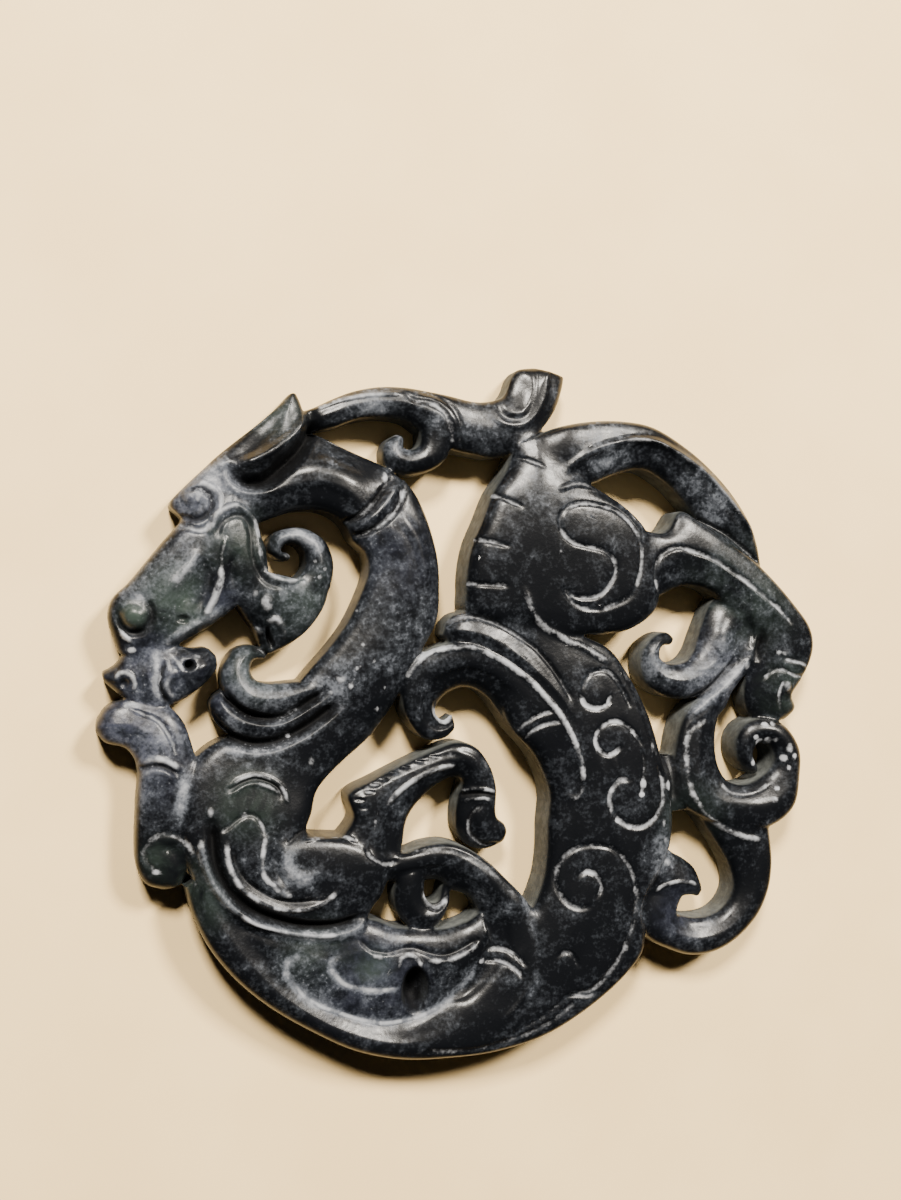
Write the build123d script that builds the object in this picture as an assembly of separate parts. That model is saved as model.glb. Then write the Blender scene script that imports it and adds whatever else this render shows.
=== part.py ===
"""Openwork dragon pendant, carved from one piece of stone. Millimetres, +Z up.

The coiled dragon is cut through and carved in relief on its front, and its back is flat.
Every limb is a table of sections, and the limbs run into each other as one solid.
"""
import os
from math import hypot

from build123d import *

# Driving dimensions
disc_width = 58.0
stone_thickness = 5.2
back_bevel = 0.35
crown_reach = 1.3

# Shares of a limb's own crest, where its sawn wall ends and where its crown's shoulder lies
wall_share = 0.74
shoulder_high = 0.93
# Shares of a limb's own width, from its edge to the crown's shoulder and to its flat crest
shoulder_across = 0.16
crest_across = 0.36
# Most of a narrow tip's width that the back bevel may take on each side
most_tucked = 0.3
# Flats between one section and the next
flats_per_section = 2

# Columns of a section: left edge x, left edge y, right edge x, right edge y, crest.
# Left and right are as met when walking down the table. Edges are hundredths of
# disc_width from the disc's middle, and the crest is a share of stone_thickness.
LIMBS = {
    # Mane that sweeps back from the ear and ends in a fishtail
    "crest_band": [
        (-25.5, 38.8, -25, 36, 0.60),
        (-22.5, 39.8, -22.2, 36.8, 0.64),
        (-20, 41, -19.6, 37.3, 0.68),
        (-17, 42.2, -16.6, 38.4, 0.70),
        (-13.5, 42.9, -13.5, 38.8, 0.72),
        (-10, 42.9, -10.3, 38.5, 0.74),
        (-7, 42.5, -8.2, 37.2, 0.76),
        (-4, 42, -4.5, 35, 0.78),
        (-1, 41.4, -1, 34.2, 0.76),
        (1.2, 41.4, 2, 33.9, 0.76),
        (3.2, 42, 5, 34.7, 0.76),
        (4.2, 43.2, 8.2, 37, 0.74),
        (4.8, 44.8, 10.9, 40.3, 0.70),
        (5.8, 46, 12.1, 43.3, 0.66),
        (8, 46.4, 12.6, 45.3, 0.60),
    ],
    # Curl under the mane
    "crest_scroll": [
        (-3.6, 38.5, -8.4, 38.4, 0.74),
        (-3.7, 36, -8.1, 36.4, 0.76),
        (-4.6, 33.4, -8.2, 35.4, 0.76),
        (-6.8, 31.8, -8.7, 34.9, 0.74),
        (-9.6, 31.2, -9.4, 34.7, 0.72),
        (-12.3, 32, -10.1, 34.8, 0.70),
        (-13.2, 34, -10.3, 35.1, 0.68),
        (-12.6, 35.8, -10.2, 35.5, 0.64),
        (-11.2, 36.7, -10.1, 36.2, 0.58),
    ],
    # Ear plate, from its tip down to the forehead
    "ear": [
        (-24.7, 41.7, -25.6, 41.5, 0.62),
        (-24.1, 40.3, -27, 39.9, 0.70),
        (-23.6, 38.4, -28.8, 38.2, 0.76),
        (-23.4, 36.6, -30.8, 36.5, 0.82),
        (-25.2, 33.6, -32.8, 34.9, 0.86),
        (-27.8, 30.9, -34.6, 33.4, 0.86),
        (-30.6, 29.8, -35.6, 32.5, 0.84),
        (-32.8, 30.5, -36.3, 31.8, 0.76),
    ],
    # Forehead roll, down to its corner over the eye
    "brow": [
        (-30, 29, -34, 33.9, 0.80),
        (-32.5, 27, -36.5, 31.6, 0.82),
        (-34.8, 25.6, -39, 29.2, 0.82),
        (-36.8, 24.4, -40.7, 27.4, 0.78),
        (-39, 24.6, -41, 26.6, 0.70),
    ],
    # Roll from the forehead back to the neck
    "temple": [
        (-34, 31.5, -31, 24, 0.80),
        (-29.5, 31.5, -28.5, 25, 0.80),
        (-26, 32.3, -25, 26.2, 0.84),
        (-22, 33.4, -21.5, 26.2, 0.88),
        (-18, 32.2, -18.8, 24.8, 0.90),
        (-14.8, 30.4, -17.4, 22.4, 0.88),
        (-12.6, 28.4, -15.9, 21, 0.88),
    ],
    # Strip between the ear and the neck, over the temple
    "nape": [
        (-25.5, 37, -26.5, 32, 0.68),
        (-22, 36.2, -23, 32, 0.73),
        (-18, 34.4, -19.5, 31, 0.76),
        (-13.5, 32.5, -16, 28.5, 0.79),
        (-11, 30.8, -14, 26.5, 0.84),
        (-9.2, 29, -12.6, 25, 0.86),
    ],
    # Neck, from the nape down to the chest
    "neck": [
        (-10.4, 30.6, -18.8, 25, 0.84),
        (-8.6, 28.2, -17.2, 22.8, 0.88),
        (-7, 24.3, -15.7, 20.6, 0.92),
        (-5.9, 20, -15.4, 18.2, 0.92),
        (-5.7, 16, -16.5, 15, 0.92),
        (-6, 12, -18.3, 11.4, 0.90),
        (-8, 8, -20.7, 8.2, 0.90),
        (-10, 4.7, -23, 5.6, 0.89),
        (-12, 0.7, -25.5, 2.5, 0.85),
        (-14.7, -3.3, -28, -1.5, 0.78),
    ],
    # Snout, from the brow to the nose and upper lip
    "snout": [
        (-29.8, 27, -35.5, 30, 0.84),
        (-29.6, 23.8, -38.8, 25.8, 0.88),
        (-28.7, 20.6, -39.8, 24.3, 0.90),
        (-28.7, 17.6, -41.7, 22.1, 0.90),
        (-31.4, 14.8, -43.8, 19.5, 0.88),
        (-33.2, 13.2, -46, 16.8, 0.84),
        (-35.6, 11.4, -48, 14.8, 0.80),
        (-38, 10, -48.6, 12.4, 0.76),
        (-40, 8.8, -47.9, 9.8, 0.72),
        (-41.3, 7.4, -47.2, 7.8, 0.70),
    ],
    # Lower jaw, from the lip to the round boss at its corner
    "jaw": [
        (-49.3, 5.4, -49.1, 4.3, 0.52),
        (-47.6, 6.4, -47.2, 2.6, 0.62),
        (-46, 8.5, -45.5, 1.5, 0.68),
        (-43, 9.5, -43, 0.9, 0.72),
        (-40.5, 8.9, -40.3, 1.4, 0.74),
        (-38.2, 8.4, -38, 2.7, 0.77),
        (-36.3, 8.5, -36.2, 4.2, 0.74),
        (-35, 7.4, -34.9, 5.8, 0.62),
    ],
    # Cheek, from the corner of the mouth upward
    "cheek": [
        (-28.8, 7.9, -27.8, 7.6, 0.56),
        (-30.2, 10.6, -25.6, 8.8, 0.68),
        (-32, 13.2, -23.3, 10.6, 0.78),
        (-33.5, 16, -21.3, 13.4, 0.84),
        (-32, 19, -20.4, 16.2, 0.86),
    ],
    # Spiral that ends the cheek, its free tip hung in a small hole
    "cheek_scroll": [
        (-26, 16.8, -20.3, 16.2, 0.86),
        (-24, 18.4, -19.9, 18.6, 0.86),
        (-23.7, 20.2, -20.2, 20.7, 0.84),
        (-24.3, 21.4, -21.4, 22.7, 0.82),
        (-25.3, 21.9, -24, 24, 0.80),
        (-26.3, 21.7, -26.8, 23.7, 0.78),
        (-26.8, 21.1, -28.2, 22.6, 0.76),
        (-26.5, 20.8, -28.3, 21.1, 0.73),
        (-26, 20.8, -27.6, 20.1, 0.70),
        (-25.6, 20.6, -26.5, 19.7, 0.64),
        (-25.3, 20.3, -25.7, 19.7, 0.54),
    ],
    # Curl under the open mouth
    "throat_curl": [
        (-28.5, 6.9, -28.6, 8.1, 0.52),
        (-30, 6.9, -30.8, 8.8, 0.66),
        (-30.6, 6.2, -33, 8, 0.76),
        (-30.7, 5.3, -34.4, 5.6, 0.82),
        (-30.2, 4.4, -34.2, 2.9, 0.86),
        (-29.2, 3.9, -32.2, 0.5, 0.88),
        (-27.5, 3.8, -28.6, -0.1, 0.88),
        (-25.5, 4, -25.6, 0.5, 0.87),
        (-23.3, 4.2, -22.8, 2, 0.85),
        (-20.6, 5.2, -20, 3.2, 0.80),
    ],
    # Second fold below the curl
    "throat_fold": [
        (-33.7, 3.2, -35.3, 2.3, 0.54),
        (-33.2, 2.2, -35.9, 1, 0.66),
        (-32.2, 1.4, -35, -1.3, 0.74),
        (-30.8, 0.8, -32.8, -3.1, 0.79),
        (-28.8, 0.6, -29.5, -3.8, 0.81),
        (-26.2, 1.1, -25.9, -2.9, 0.82),
        (-23.4, 2.6, -22.4, -0.8, 0.82),
        (-20.4, 4.4, -18.8, 1.7, 0.82),
        (-17.3, 5, -16.3, 3, 0.72),
    ],
    # Beard, from its knob down the left side
    "beard": [
        (-50, -0.7, -50.1, -2.2, 0.56),
        (-48.7, 1.1, -48.8, -3.5, 0.68),
        (-46.5, 1.9, -46.6, -4.1, 0.72),
        (-44, 1.6, -45.5, -5.3, 0.74),
        (-41, 0.9, -45, -6.8, 0.76),
        (-39.2, -1, -44.9, -8.4, 0.78),
        (-38.1, -4, -45.1, -10.6, 0.78),
        (-37, -8.5, -45.2, -13.2, 0.78),
        (-36.8, -12, -45.3, -16, 0.76),
        (-37, -16, -45.1, -19.2, 0.74),
        (-38, -19.6, -43.9, -21.5, 0.70),
        (-39.4, -21.8, -41.8, -22.4, 0.62),
    ],
    # Chest and shoulder
    "shoulder": [
        (-12.5, 0.7, -22, 3, 0.82),
        (-14.9, -3.3, -27.5, -1.5, 0.81),
        (-18.9, -6.8, -35, -3.6, 0.79),
        (-21.9, -10, -38.6, -7, 0.83),
        (-22.8, -13, -39.5, -12, 0.90),
        (-23.2, -15.8, -39.5, -16.5, 0.92),
        (-17.5, -16.6, -38.6, -20, 0.94),
        (-12.6, -19.6, -37, -23, 0.94),
        (-13.2, -23.6, -33.5, -26.2, 0.90),
        (-14.9, -26.4, -29, -28.2, 0.84),
        (-15.4, -28.5, -23.5, -29.2, 0.76),
    ],
    # Body, from the haunch down the right side and round the bottom
    "body": [
        (14, 9.9, -2, 12.8, 0.84),
        (18.2, 8, 0.5, 9.5, 0.88),
        (20.2, 5.6, 2, 5, 0.92),
        (22.2, 2.3, 3, 0, 0.94),
        (24.2, -2, 4.6, -3.2, 0.96),
        (25.6, -6.5, 7.6, -6.7, 0.96),
        (27, -11, 9.6, -11.5, 0.96),
        (27.5, -15.5, 9.4, -16, 0.95),
        (27, -20, 9.3, -20, 0.94),
        (24.8, -24, 8.6, -24, 0.94),
        (23, -28, 6.5, -28.5, 0.94),
        (23.6, -31.5, 3, -33, 0.93),
        (22.6, -34.8, 0, -36.5, 0.92),
        (17.5, -39.6, -2.5, -38.3, 0.90),
        (10, -44, -5, -38.9, 0.90),
        (2.7, -46, -8, -39.7, 0.88),
        (-4, -46.4, -11, -41, 0.88),
        (-10.7, -46.2, -14, -40.8, 0.86),
        (-17, -44.6, -18, -39.4, 0.86),
        (-22.5, -41.8, -22, -37.4, 0.86),
        (-28, -38.3, -26, -34, 0.86),
        (-32.5, -34.4, -28.5, -30.5, 0.86),
        (-36, -30, -31, -27, 0.86),
        (-38.2, -25.5, -33, -24, 0.84),
        (-39.2, -21.9, -35, -19, 0.80),
    ],
    # Second foreleg, arched over its own opening
    "lower_arch": [
        (-12.5, -18.3, -15.5, -24, 0.78),
        (-10.3, -18.9, -11.8, -22.9, 0.82),
        (-7.5, -18, -8.5, -22.9, 0.84),
        (-4.5, -17.8, -5.5, -23, 0.86),
        (-2, -18.6, -4, -24.3, 0.88),
        (1, -20.5, -2, -25, 0.90),
        (3.6, -23, -0.6, -26.2, 0.90),
        (6, -25.5, 0.2, -28.3, 0.90),
        (8, -28.5, 0.4, -30.3, 0.90),
        (8.5, -32.5, 0.2, -32.3, 0.90),
        (7.5, -36.5, -1.6, -34.6, 0.88),
        (4.5, -40.5, -4, -36.8, 0.86),
        (0, -43, -6.5, -38.4, 0.84),
    ],
    # Scroll that hangs in that opening
    "arch_scroll": [
        (-7.4, -20.8, -11.4, -22.3, 0.76),
        (-7.5, -23.4, -11.7, -25, 0.74),
        (-7.4, -24.9, -11, -27.3, 0.72),
        (-6.8, -25.8, -9, -29.2, 0.70),
        (-6, -26, -6, -29.1, 0.70),
        (-5.4, -25.5, -4.4, -27.2, 0.66),
        (-5.2, -24.8, -3.8, -25.5, 0.62),
        (-5, -23.8, -4, -24.2, 0.58),
    ],
    # Lobe that the lower arch curls round
    "inner_lobe": [
        (-31, -26, -32, -30, 0.78),
        (-26.5, -27, -28.6, -34, 0.82),
        (-22, -27.7, -24.4, -37.5, 0.84),
        (-18, -27.7, -18.7, -40.2, 0.84),
        (-14.6, -27.6, -13.8, -41.6, 0.84),
        (-11.6, -28.8, -10.3, -41.5, 0.82),
        (-8, -29.2, -6.3, -40.2, 0.80),
        (-5, -29.4, -3.2, -38.3, 0.80),
        (-2, -28.7, -0.4, -35.8, 0.80),
        (0.2, -27.4, 1.4, -32, 0.80),
    ],
    # Foreleg, from the elbow over its arch to the claw
    "foreleg": [
        (-19, -16.5, -11.5, -21.5, 0.84),
        (-17.4, -14, -10.5, -18, 0.84),
        (-18, -10.9, -10, -15, 0.84),
        (-14.5, -9, -8.8, -12.9, 0.82),
        (-10.5, -7.1, -6.8, -10.9, 0.82),
        (-7, -5.6, -5, -9.7, 0.82),
        (-3.5, -4.4, -3.6, -9.2, 0.82),
        (-0.5, -5.2, -2.6, -9.5, 0.82),
        (1.5, -7.8, -2.3, -10.3, 0.80),
        (2.4, -10.5, -2.6, -11.3, 0.78),
        (2.4, -12.2, -3, -12.8, 0.78),
        (2.3, -13.7, -3.2, -14.6, 0.78),
        (2.6, -14.9, -2.9, -16.5, 0.76),
        (3.6, -15.7, -1.2, -18.6, 0.74),
        (4.1, -16.7, 1.2, -19.2, 0.68),
        (4, -17.8, 3, -18.6, 0.58),
    ],
    # Wing, a ribbon that hooks back on itself
    "wing_hook": [
        (10.8, -14.2, 14.4, -13.4, 0.93),
        (8.6, -8, 14.2, -7.5, 1.00),
        (6.4, -5, 12.9, -3.8, 1.00),
        (4.4, -3, 10.9, -0.3, 1.00),
        (2.6, -0.4, 8.3, 3, 0.98),
        (1.2, 1.4, 5.2, 5.6, 0.96),
        (-0.6, 2.6, 1.8, 7.8, 0.94),
        (-2.4, 2.8, -2, 9, 0.92),
        (-4.2, 2.1, -6, 8.4, 0.90),
        (-5.2, 1.2, -9.2, 6.6, 0.88),
        (-5.8, 0.3, -10.8, 3.5, 0.86),
        (-5.8, -0.6, -10.7, 0.4, 0.84),
        (-5.3, -1.3, -9.7, -1.9, 0.80),
        (-4.7, -1.6, -7.6, -3.9, 0.78),
        (-4, -1.3, -5, -4, 0.74),
        (-3.4, -0.8, -3.3, -2.9, 0.68),
    ],
    # Feather band along the wing's upper side
    "upper_band": [
        (-4.7, 11.5, -5, 9.8, 0.66),
        (-3.2, 12.8, -3.6, 8.4, 0.80),
        (-0.5, 12.9, -1.5, 7.6, 0.88),
        (2.5, 11.6, 1, 6.6, 0.92),
        (5.5, 9.4, 4, 4.8, 0.94),
        (8.5, 6.5, 7, 2.6, 0.96),
        (11.2, 3.6, 9.5, 0.3, 0.98),
        (13.2, 0.6, 11.4, -2.4, 0.98),
    ],
    # Low web between the body and the cloud scroll
    "cloud_web": [
        (30.4, -7.4, 24, -6.6, 0.62),
        (30.4, -9.6, 25, -9.2, 0.76),
        (30.6, -12, 25, -12, 0.80),
        (31, -14.8, 25.4, -15, 0.70),
    ],
    # Haunch, the broadest and highest form
    "haunch": [
        (10, 37.6, 4.9, 35.6, 0.84),
        (12.2, 33.6, 3.8, 32.4, 0.91),
        (15.6, 30.4, 1.7, 29.2, 0.96),
        (20.2, 27.6, 0.1, 25.4, 0.99),
        (23.5, 24.4, -1.3, 22.1, 1.00),
        (25, 21, -2, 18.7, 0.99),
        (25.8, 17, -2.1, 15.6, 0.97),
        (25.2, 13.2, -1.8, 13, 0.94),
        (21.6, 10.6, 2.5, 11.6, 0.90),
        (17.4, 9.8, 6, 10.5, 0.86),
    ],
    # Tail, arched over the haunch
    "tail_arc": [
        (7.4, 36.8, 8.4, 31.6, 0.82),
        (10.8, 38.1, 11.8, 30.5, 0.91),
        (15, 39, 15.6, 30.4, 0.90),
        (20, 39.3, 19.5, 31.9, 0.88),
        (25, 38.6, 23.5, 32.7, 0.86),
        (30, 35.9, 27, 31, 0.84),
        (34, 32.8, 29.5, 28.8, 0.82),
        (37.3, 29.4, 32, 26, 0.80),
        (39.8, 25.8, 35, 23.6, 0.78),
        (41.3, 22.4, 38.3, 21.6, 0.74),
        (42, 19.6, 41, 19.2, 0.66),
    ],
    # Hind leg, from the haunch to the paw
    "hind_leg": [
        (21, 25, 23, 13.5, 0.92),
        (26.3, 24, 26.3, 15.2, 0.88),
        (29, 27, 28.8, 16.4, 0.86),
        (32, 25.6, 31.2, 16.6, 0.86),
        (36, 23.2, 34, 15.8, 0.86),
        (40, 20.5, 36.5, 13.6, 0.86),
        (43.8, 17.1, 39, 11.8, 0.86),
        (47, 13.7, 40.5, 10, 0.84),
        (49.2, 10.9, 39.8, 8.2, 0.82),
        (49.9, 8.2, 39.7, 6, 0.80),
        (49.3, 5.5, 39.6, 4, 0.78),
        (47.9, 2.9, 39.4, 2, 0.76),
        (46.8, 1, 39.6, 0, 0.72),
        (47.6, -0.9, 40.5, -1.8, 0.66),
        (46.3, -2.5, 42.5, -3, 0.58),
    ],
    # Curl under the hind leg
    "paw_curl": [
        (28.4, 8.2, 29, 9.3, 0.52),
        (27.5, 8.3, 27.6, 10.1, 0.62),
        (26.7, 8, 25.6, 9.6, 0.70),
        (26.3, 7.3, 24, 8.1, 0.74),
        (26.4, 6.5, 23.4, 5.8, 0.76),
        (27.2, 5.9, 24.3, 2.9, 0.78),
        (28.7, 5.7, 27.3, 1, 0.80),
        (30.3, 6.2, 31.5, 0.9, 0.82),
        (31.5, 7.6, 34.8, 2.6, 0.80),
        (32.3, 9.6, 38, 4.8, 0.77),
        (33.3, 12, 40.2, 7.6, 0.73),
        (34.6, 14.4, 41, 9.8, 0.67),
        (36.6, 16.2, 41.8, 11.4, 0.60),
    ],
    # Cloud scroll on the right, from its stem to its centre
    "cloud_stem": [
        (41.6, 6.6, 38.6, 8.6, 0.74),
        (39.6, 4.2, 36.8, 5.4, 0.76),
        (38.6, 3, 35.6, 3.8, 0.76),
        (37.4, 1.5, 34.3, 2.2, 0.76),
        (36.5, -0.6, 32, 0.6, 0.76),
        (35.3, -1.9, 29.9, -1.3, 0.78),
        (34.8, -4, 28.8, -4, 0.80),
        (34.7, -6.5, 28.3, -7, 0.82),
        (35.2, -9, 28, -10.5, 0.84),
        (36.5, -10.9, 29, -13.5, 0.84),
        (38.6, -11.5, 32.5, -16, 0.84),
        (40.6, -11.1, 37, -17.4, 0.84),
        (42.4, -10.1, 42.3, -17.8, 0.84),
        (43.4, -9.1, 46.4, -15.2, 0.84),
        (43.7, -8, 47.6, -10.8, 0.82),
        (43.4, -6.8, 47.6, -6.6, 0.82),
        (42.6, -6, 45.3, -3.2, 0.80),
        (41.3, -5.8, 41.8, -2.2, 0.78),
        (41, -6.4, 39.3, -3, 0.76),
        (40.7, -7.2, 37.9, -5.1, 0.74),
        (40.9, -8.1, 38.2, -7.9, 0.72),
        (41.4, -8.7, 39.6, -9.6, 0.68),
        (41.9, -9.3, 41.2, -10.4, 0.58),
    ],
    # Hook below the cloud scroll
    "tail_hook": [
        (42.9, -16.8, 31, -14, 0.74),
        (43.3, -20, 34.8, -19.3, 0.76),
        (43.5, -23, 36.8, -22.6, 0.76),
        (43, -26.5, 37.6, -25.5, 0.76),
        (41.4, -30, 37, -27.7, 0.76),
        (38.5, -33, 35.5, -29.3, 0.76),
        (35, -34.9, 33.5, -30, 0.76),
        (31, -35.3, 31, -30, 0.76),
        (27.3, -34.1, 29, -29.4, 0.78),
        (24, -32.3, 29, -28.5, 0.80),
        (21.5, -29, 29.4, -27.6, 0.80),
        (21.5, -26, 29.9, -26.9, 0.78),
    ],
    # Point inside that hook
    "tail_beak": [
        (25.2, -18, 22, -27, 0.80),
        (27.9, -20.5, 26.8, -27.6, 0.78),
        (30, -21.7, 29.9, -27, 0.74),
        (31.8, -23.2, 31.4, -27, 0.68),
        (33, -25.5, 32.6, -27.4, 0.58),
    ],
}


def smooth_rows(rows):
    """The rows with others set between them, on a curve through them all."""
    first = [2 * here - there for here, there in zip(rows[0], rows[1])]
    last = [2 * here - there for here, there in zip(rows[-1], rows[-2])]
    padded = [first, *rows, last]
    finer = []
    for rows_around in zip(padded, padded[1:], padded[2:], padded[3:]):
        for flat in range(flats_per_section):
            t = flat / flats_per_section
            finer.append([curve_value(*values, t) for values in zip(*rows_around)])
    finer.append(rows[-1])
    return finer


def curve_value(before, here, there, after, t):
    """Value at share t of the way from here to there, on the curve through all four."""
    slope = (there - before) / 2
    next_slope = (after - here) / 2
    climb = there - here
    bend = 3 * climb - 2 * slope - next_slope
    twist = slope + next_slope - 2 * climb
    return here + t * (slope + t * (bend + t * twist))


def section_ring(row):
    """The ten corners of one cut across a limb, from the back's left round to its right."""
    left_x, left_y, right_x, right_y = (share * disc_width / 100 for share in row[:4])
    crest = row[4] * stone_thickness
    width = hypot(right_x - left_x, right_y - left_y)
    shoulder = min(shoulder_across, crown_reach / width)
    half = [
        (min(most_tucked, back_bevel / width), 0),
        (0, back_bevel),
        (0, wall_share * crest),
        (shoulder, shoulder_high * crest),
        (max(shoulder, crest_across), crest),
    ]
    profile = half + [(1 - across, height) for across, height in reversed(half)]
    return [
        (left_x + across * (right_x - left_x), left_y + across * (right_y - left_y), height)
        for across, height in profile
    ]


def limb_solid(rows):
    """One limb: flat triangles from section to section, and a flat face at each end."""
    rings = [section_ring(row) for row in smooth_rows(rows)]
    faces = [Face(Wire.make_polygon(rings[0])), Face(Wire.make_polygon(rings[-1]))]
    for near, far in zip(rings, rings[1:]):
        for corner in range(len(near)):
            following = (corner + 1) % len(near)
            faces.append(Face(Wire.make_polygon([near[corner], near[following], far[following]])))
            faces.append(Face(Wire.make_polygon([near[corner], far[following], far[corner]])))
    return Solid(Shell(faces))


def carved_dragon():
    """All limbs run together on the flat back, stood on the middle of their box."""
    limbs = [limb_solid(rows) for rows in LIMBS.values()]
    stone = limbs[0].fuse(*limbs[1:])
    middle = stone.bounding_box().center()
    return stone.moved(Location((-middle.X, -middle.Y, 0)))


os.makedirs("parts", exist_ok=True)
dragon_disc = carved_dragon()
export_step(dragon_disc, "parts/dragon_disc.step")
print("dragon_disc", dragon_disc.bounding_box().size, round(dragon_disc.volume, 1), "mm3")
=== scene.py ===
"""Openwork dragon pendant, carved from one dark stone, with a worn polish and chalky engraving.

The stone is shaped in millimetres and made metres at the end. Places on the disc are in
shares, hundredths of the disc's width from its middle, as in the part's own tables.
"""
from math import cos, hypot, pi, radians, sin

import bmesh
import bpy
import numpy as np
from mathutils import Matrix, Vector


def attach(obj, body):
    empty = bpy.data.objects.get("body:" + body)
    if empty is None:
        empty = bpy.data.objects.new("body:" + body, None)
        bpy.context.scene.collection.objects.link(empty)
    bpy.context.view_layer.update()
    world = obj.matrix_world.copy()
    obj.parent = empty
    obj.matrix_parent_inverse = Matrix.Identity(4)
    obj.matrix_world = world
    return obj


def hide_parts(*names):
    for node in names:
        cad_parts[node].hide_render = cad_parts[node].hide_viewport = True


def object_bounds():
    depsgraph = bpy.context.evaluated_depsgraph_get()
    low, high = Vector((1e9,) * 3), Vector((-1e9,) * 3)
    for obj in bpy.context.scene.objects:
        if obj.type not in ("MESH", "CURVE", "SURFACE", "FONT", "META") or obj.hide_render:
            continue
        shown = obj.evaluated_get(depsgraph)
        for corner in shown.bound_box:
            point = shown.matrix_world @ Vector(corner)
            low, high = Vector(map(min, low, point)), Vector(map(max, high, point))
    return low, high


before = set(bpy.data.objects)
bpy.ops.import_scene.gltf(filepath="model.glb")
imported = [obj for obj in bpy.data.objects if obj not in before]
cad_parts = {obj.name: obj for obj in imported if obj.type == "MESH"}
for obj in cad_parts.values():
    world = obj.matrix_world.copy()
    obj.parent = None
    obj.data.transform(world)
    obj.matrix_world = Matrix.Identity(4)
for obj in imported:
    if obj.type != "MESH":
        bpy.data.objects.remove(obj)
cad_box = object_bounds()

# Sizes in millimetres. The two reaches are how far the shoulder of a limb comes in from its
# edge, on a rounded edge and on a sharp one.
disc_width = 58.0
stone_thickness = 5.2
back_bevel = 0.35
crown_reach = 1.8
sharp_reach = 0.6
share = disc_width / 100
metre = 1000.0

# Shares of a limb's own crest, where its wall ends and where its crown's shoulder lies
wall_share = 0.7
shoulder_high = 0.94
# Most of a limb's own width that its rounded shoulder and its back bevel may take on each side
most_rounded = 0.42
most_tucked = 0.3
# Limbs that are high and sharp along one edge, and how far they fall to the other as a share of
# their crest. Those above zero are high on the right, as met when walking down their table.
leans = {
    "wing_hook": 0.22,
    "lower_arch": -0.2,
    "foreleg": -0.12,
    "tail_arc": -0.04,
    "hind_leg": -0.03,
    "cloud_stem": 0.03,
    "tail_hook": -0.03,
    "body": -0.02,
}
# Steps round a shoulder, and from a shoulder to the middle of the crown
shoulder_steps = 8
dome_steps = 5
# Sections drawn between one row of a limb's table and the next
flats_per_section = 5
# Points drawn between one point of an engraved line and the next, and the shortest step between
# two that is measured, in shares
steps_per_point = 4
shortest_step = 1e-6

# How far the joins of limbs are evened out, in millimetres, and how much of that wear the whole
# front has
join_reach = 1.6
wear = 0.12
# Share of the thickness from which the steep steps inside a join are evened out too, and the
# share over which that sets in
lowest_step = 0.5
step_blend = 0.06
# Rounds of smoothing for the joined limbs and for the carved stone, and how strong each round is
first_rounds = 4
last_rounds = 2
smoothing = 0.5

# Front of the stone: how far its faces turn up at the least, over how much more that sets in, and
# the lowest height in millimetres
least_upturn = 0.05
upturn_blend = 0.4
lowest_front = 1
# Share of its depth and of its chalk and painted highlight that a line has at its very ends
end_depth = 0.35
end_chalk = 0.3
# How flat the middle of a spot is
spot_flatness = 1.6
# Half width past which a pale line is a broad hazy band and not a filled cut; on the ridges marked
# so in the table that band is a painted highlight
widest_cut = 0.7
# How far chalk and painted highlights spread, as a share of a line's half width, and the least that
# keeps a line's mesh fine
chalk_spread = 1.3
least_chalk = 0.2
# How steep a cut is where painted shade starts in it and where that shade is darkest, in
# millimetres for each share
shallow_cut = 0.3
deep_cut = 0.6
# Sawn walls: how far they may turn up, and how far above the straight wall they reach, in
# millimetres
sawn_upturn = 0.45
sawn_margin = 0.3
# How far a face must turn up to hold chalk and painted highlights, and how far a patch of cloud or
# colour still reaches down a wall
chalk_upturn = 0.1
patch_wrap = 0.6
# Walls left of the first place on the disc are kept darker, and those right of the second are fully
# pale. The darkest keep this share of their paleness.
darker_walls_edge = -26
pale_walls = -6
darkest_wall_share = 0.2

# Grain of the mesh, in millimetres, and the most triangles it keeps
grain = 0.11
most_triangles = 198000

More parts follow.
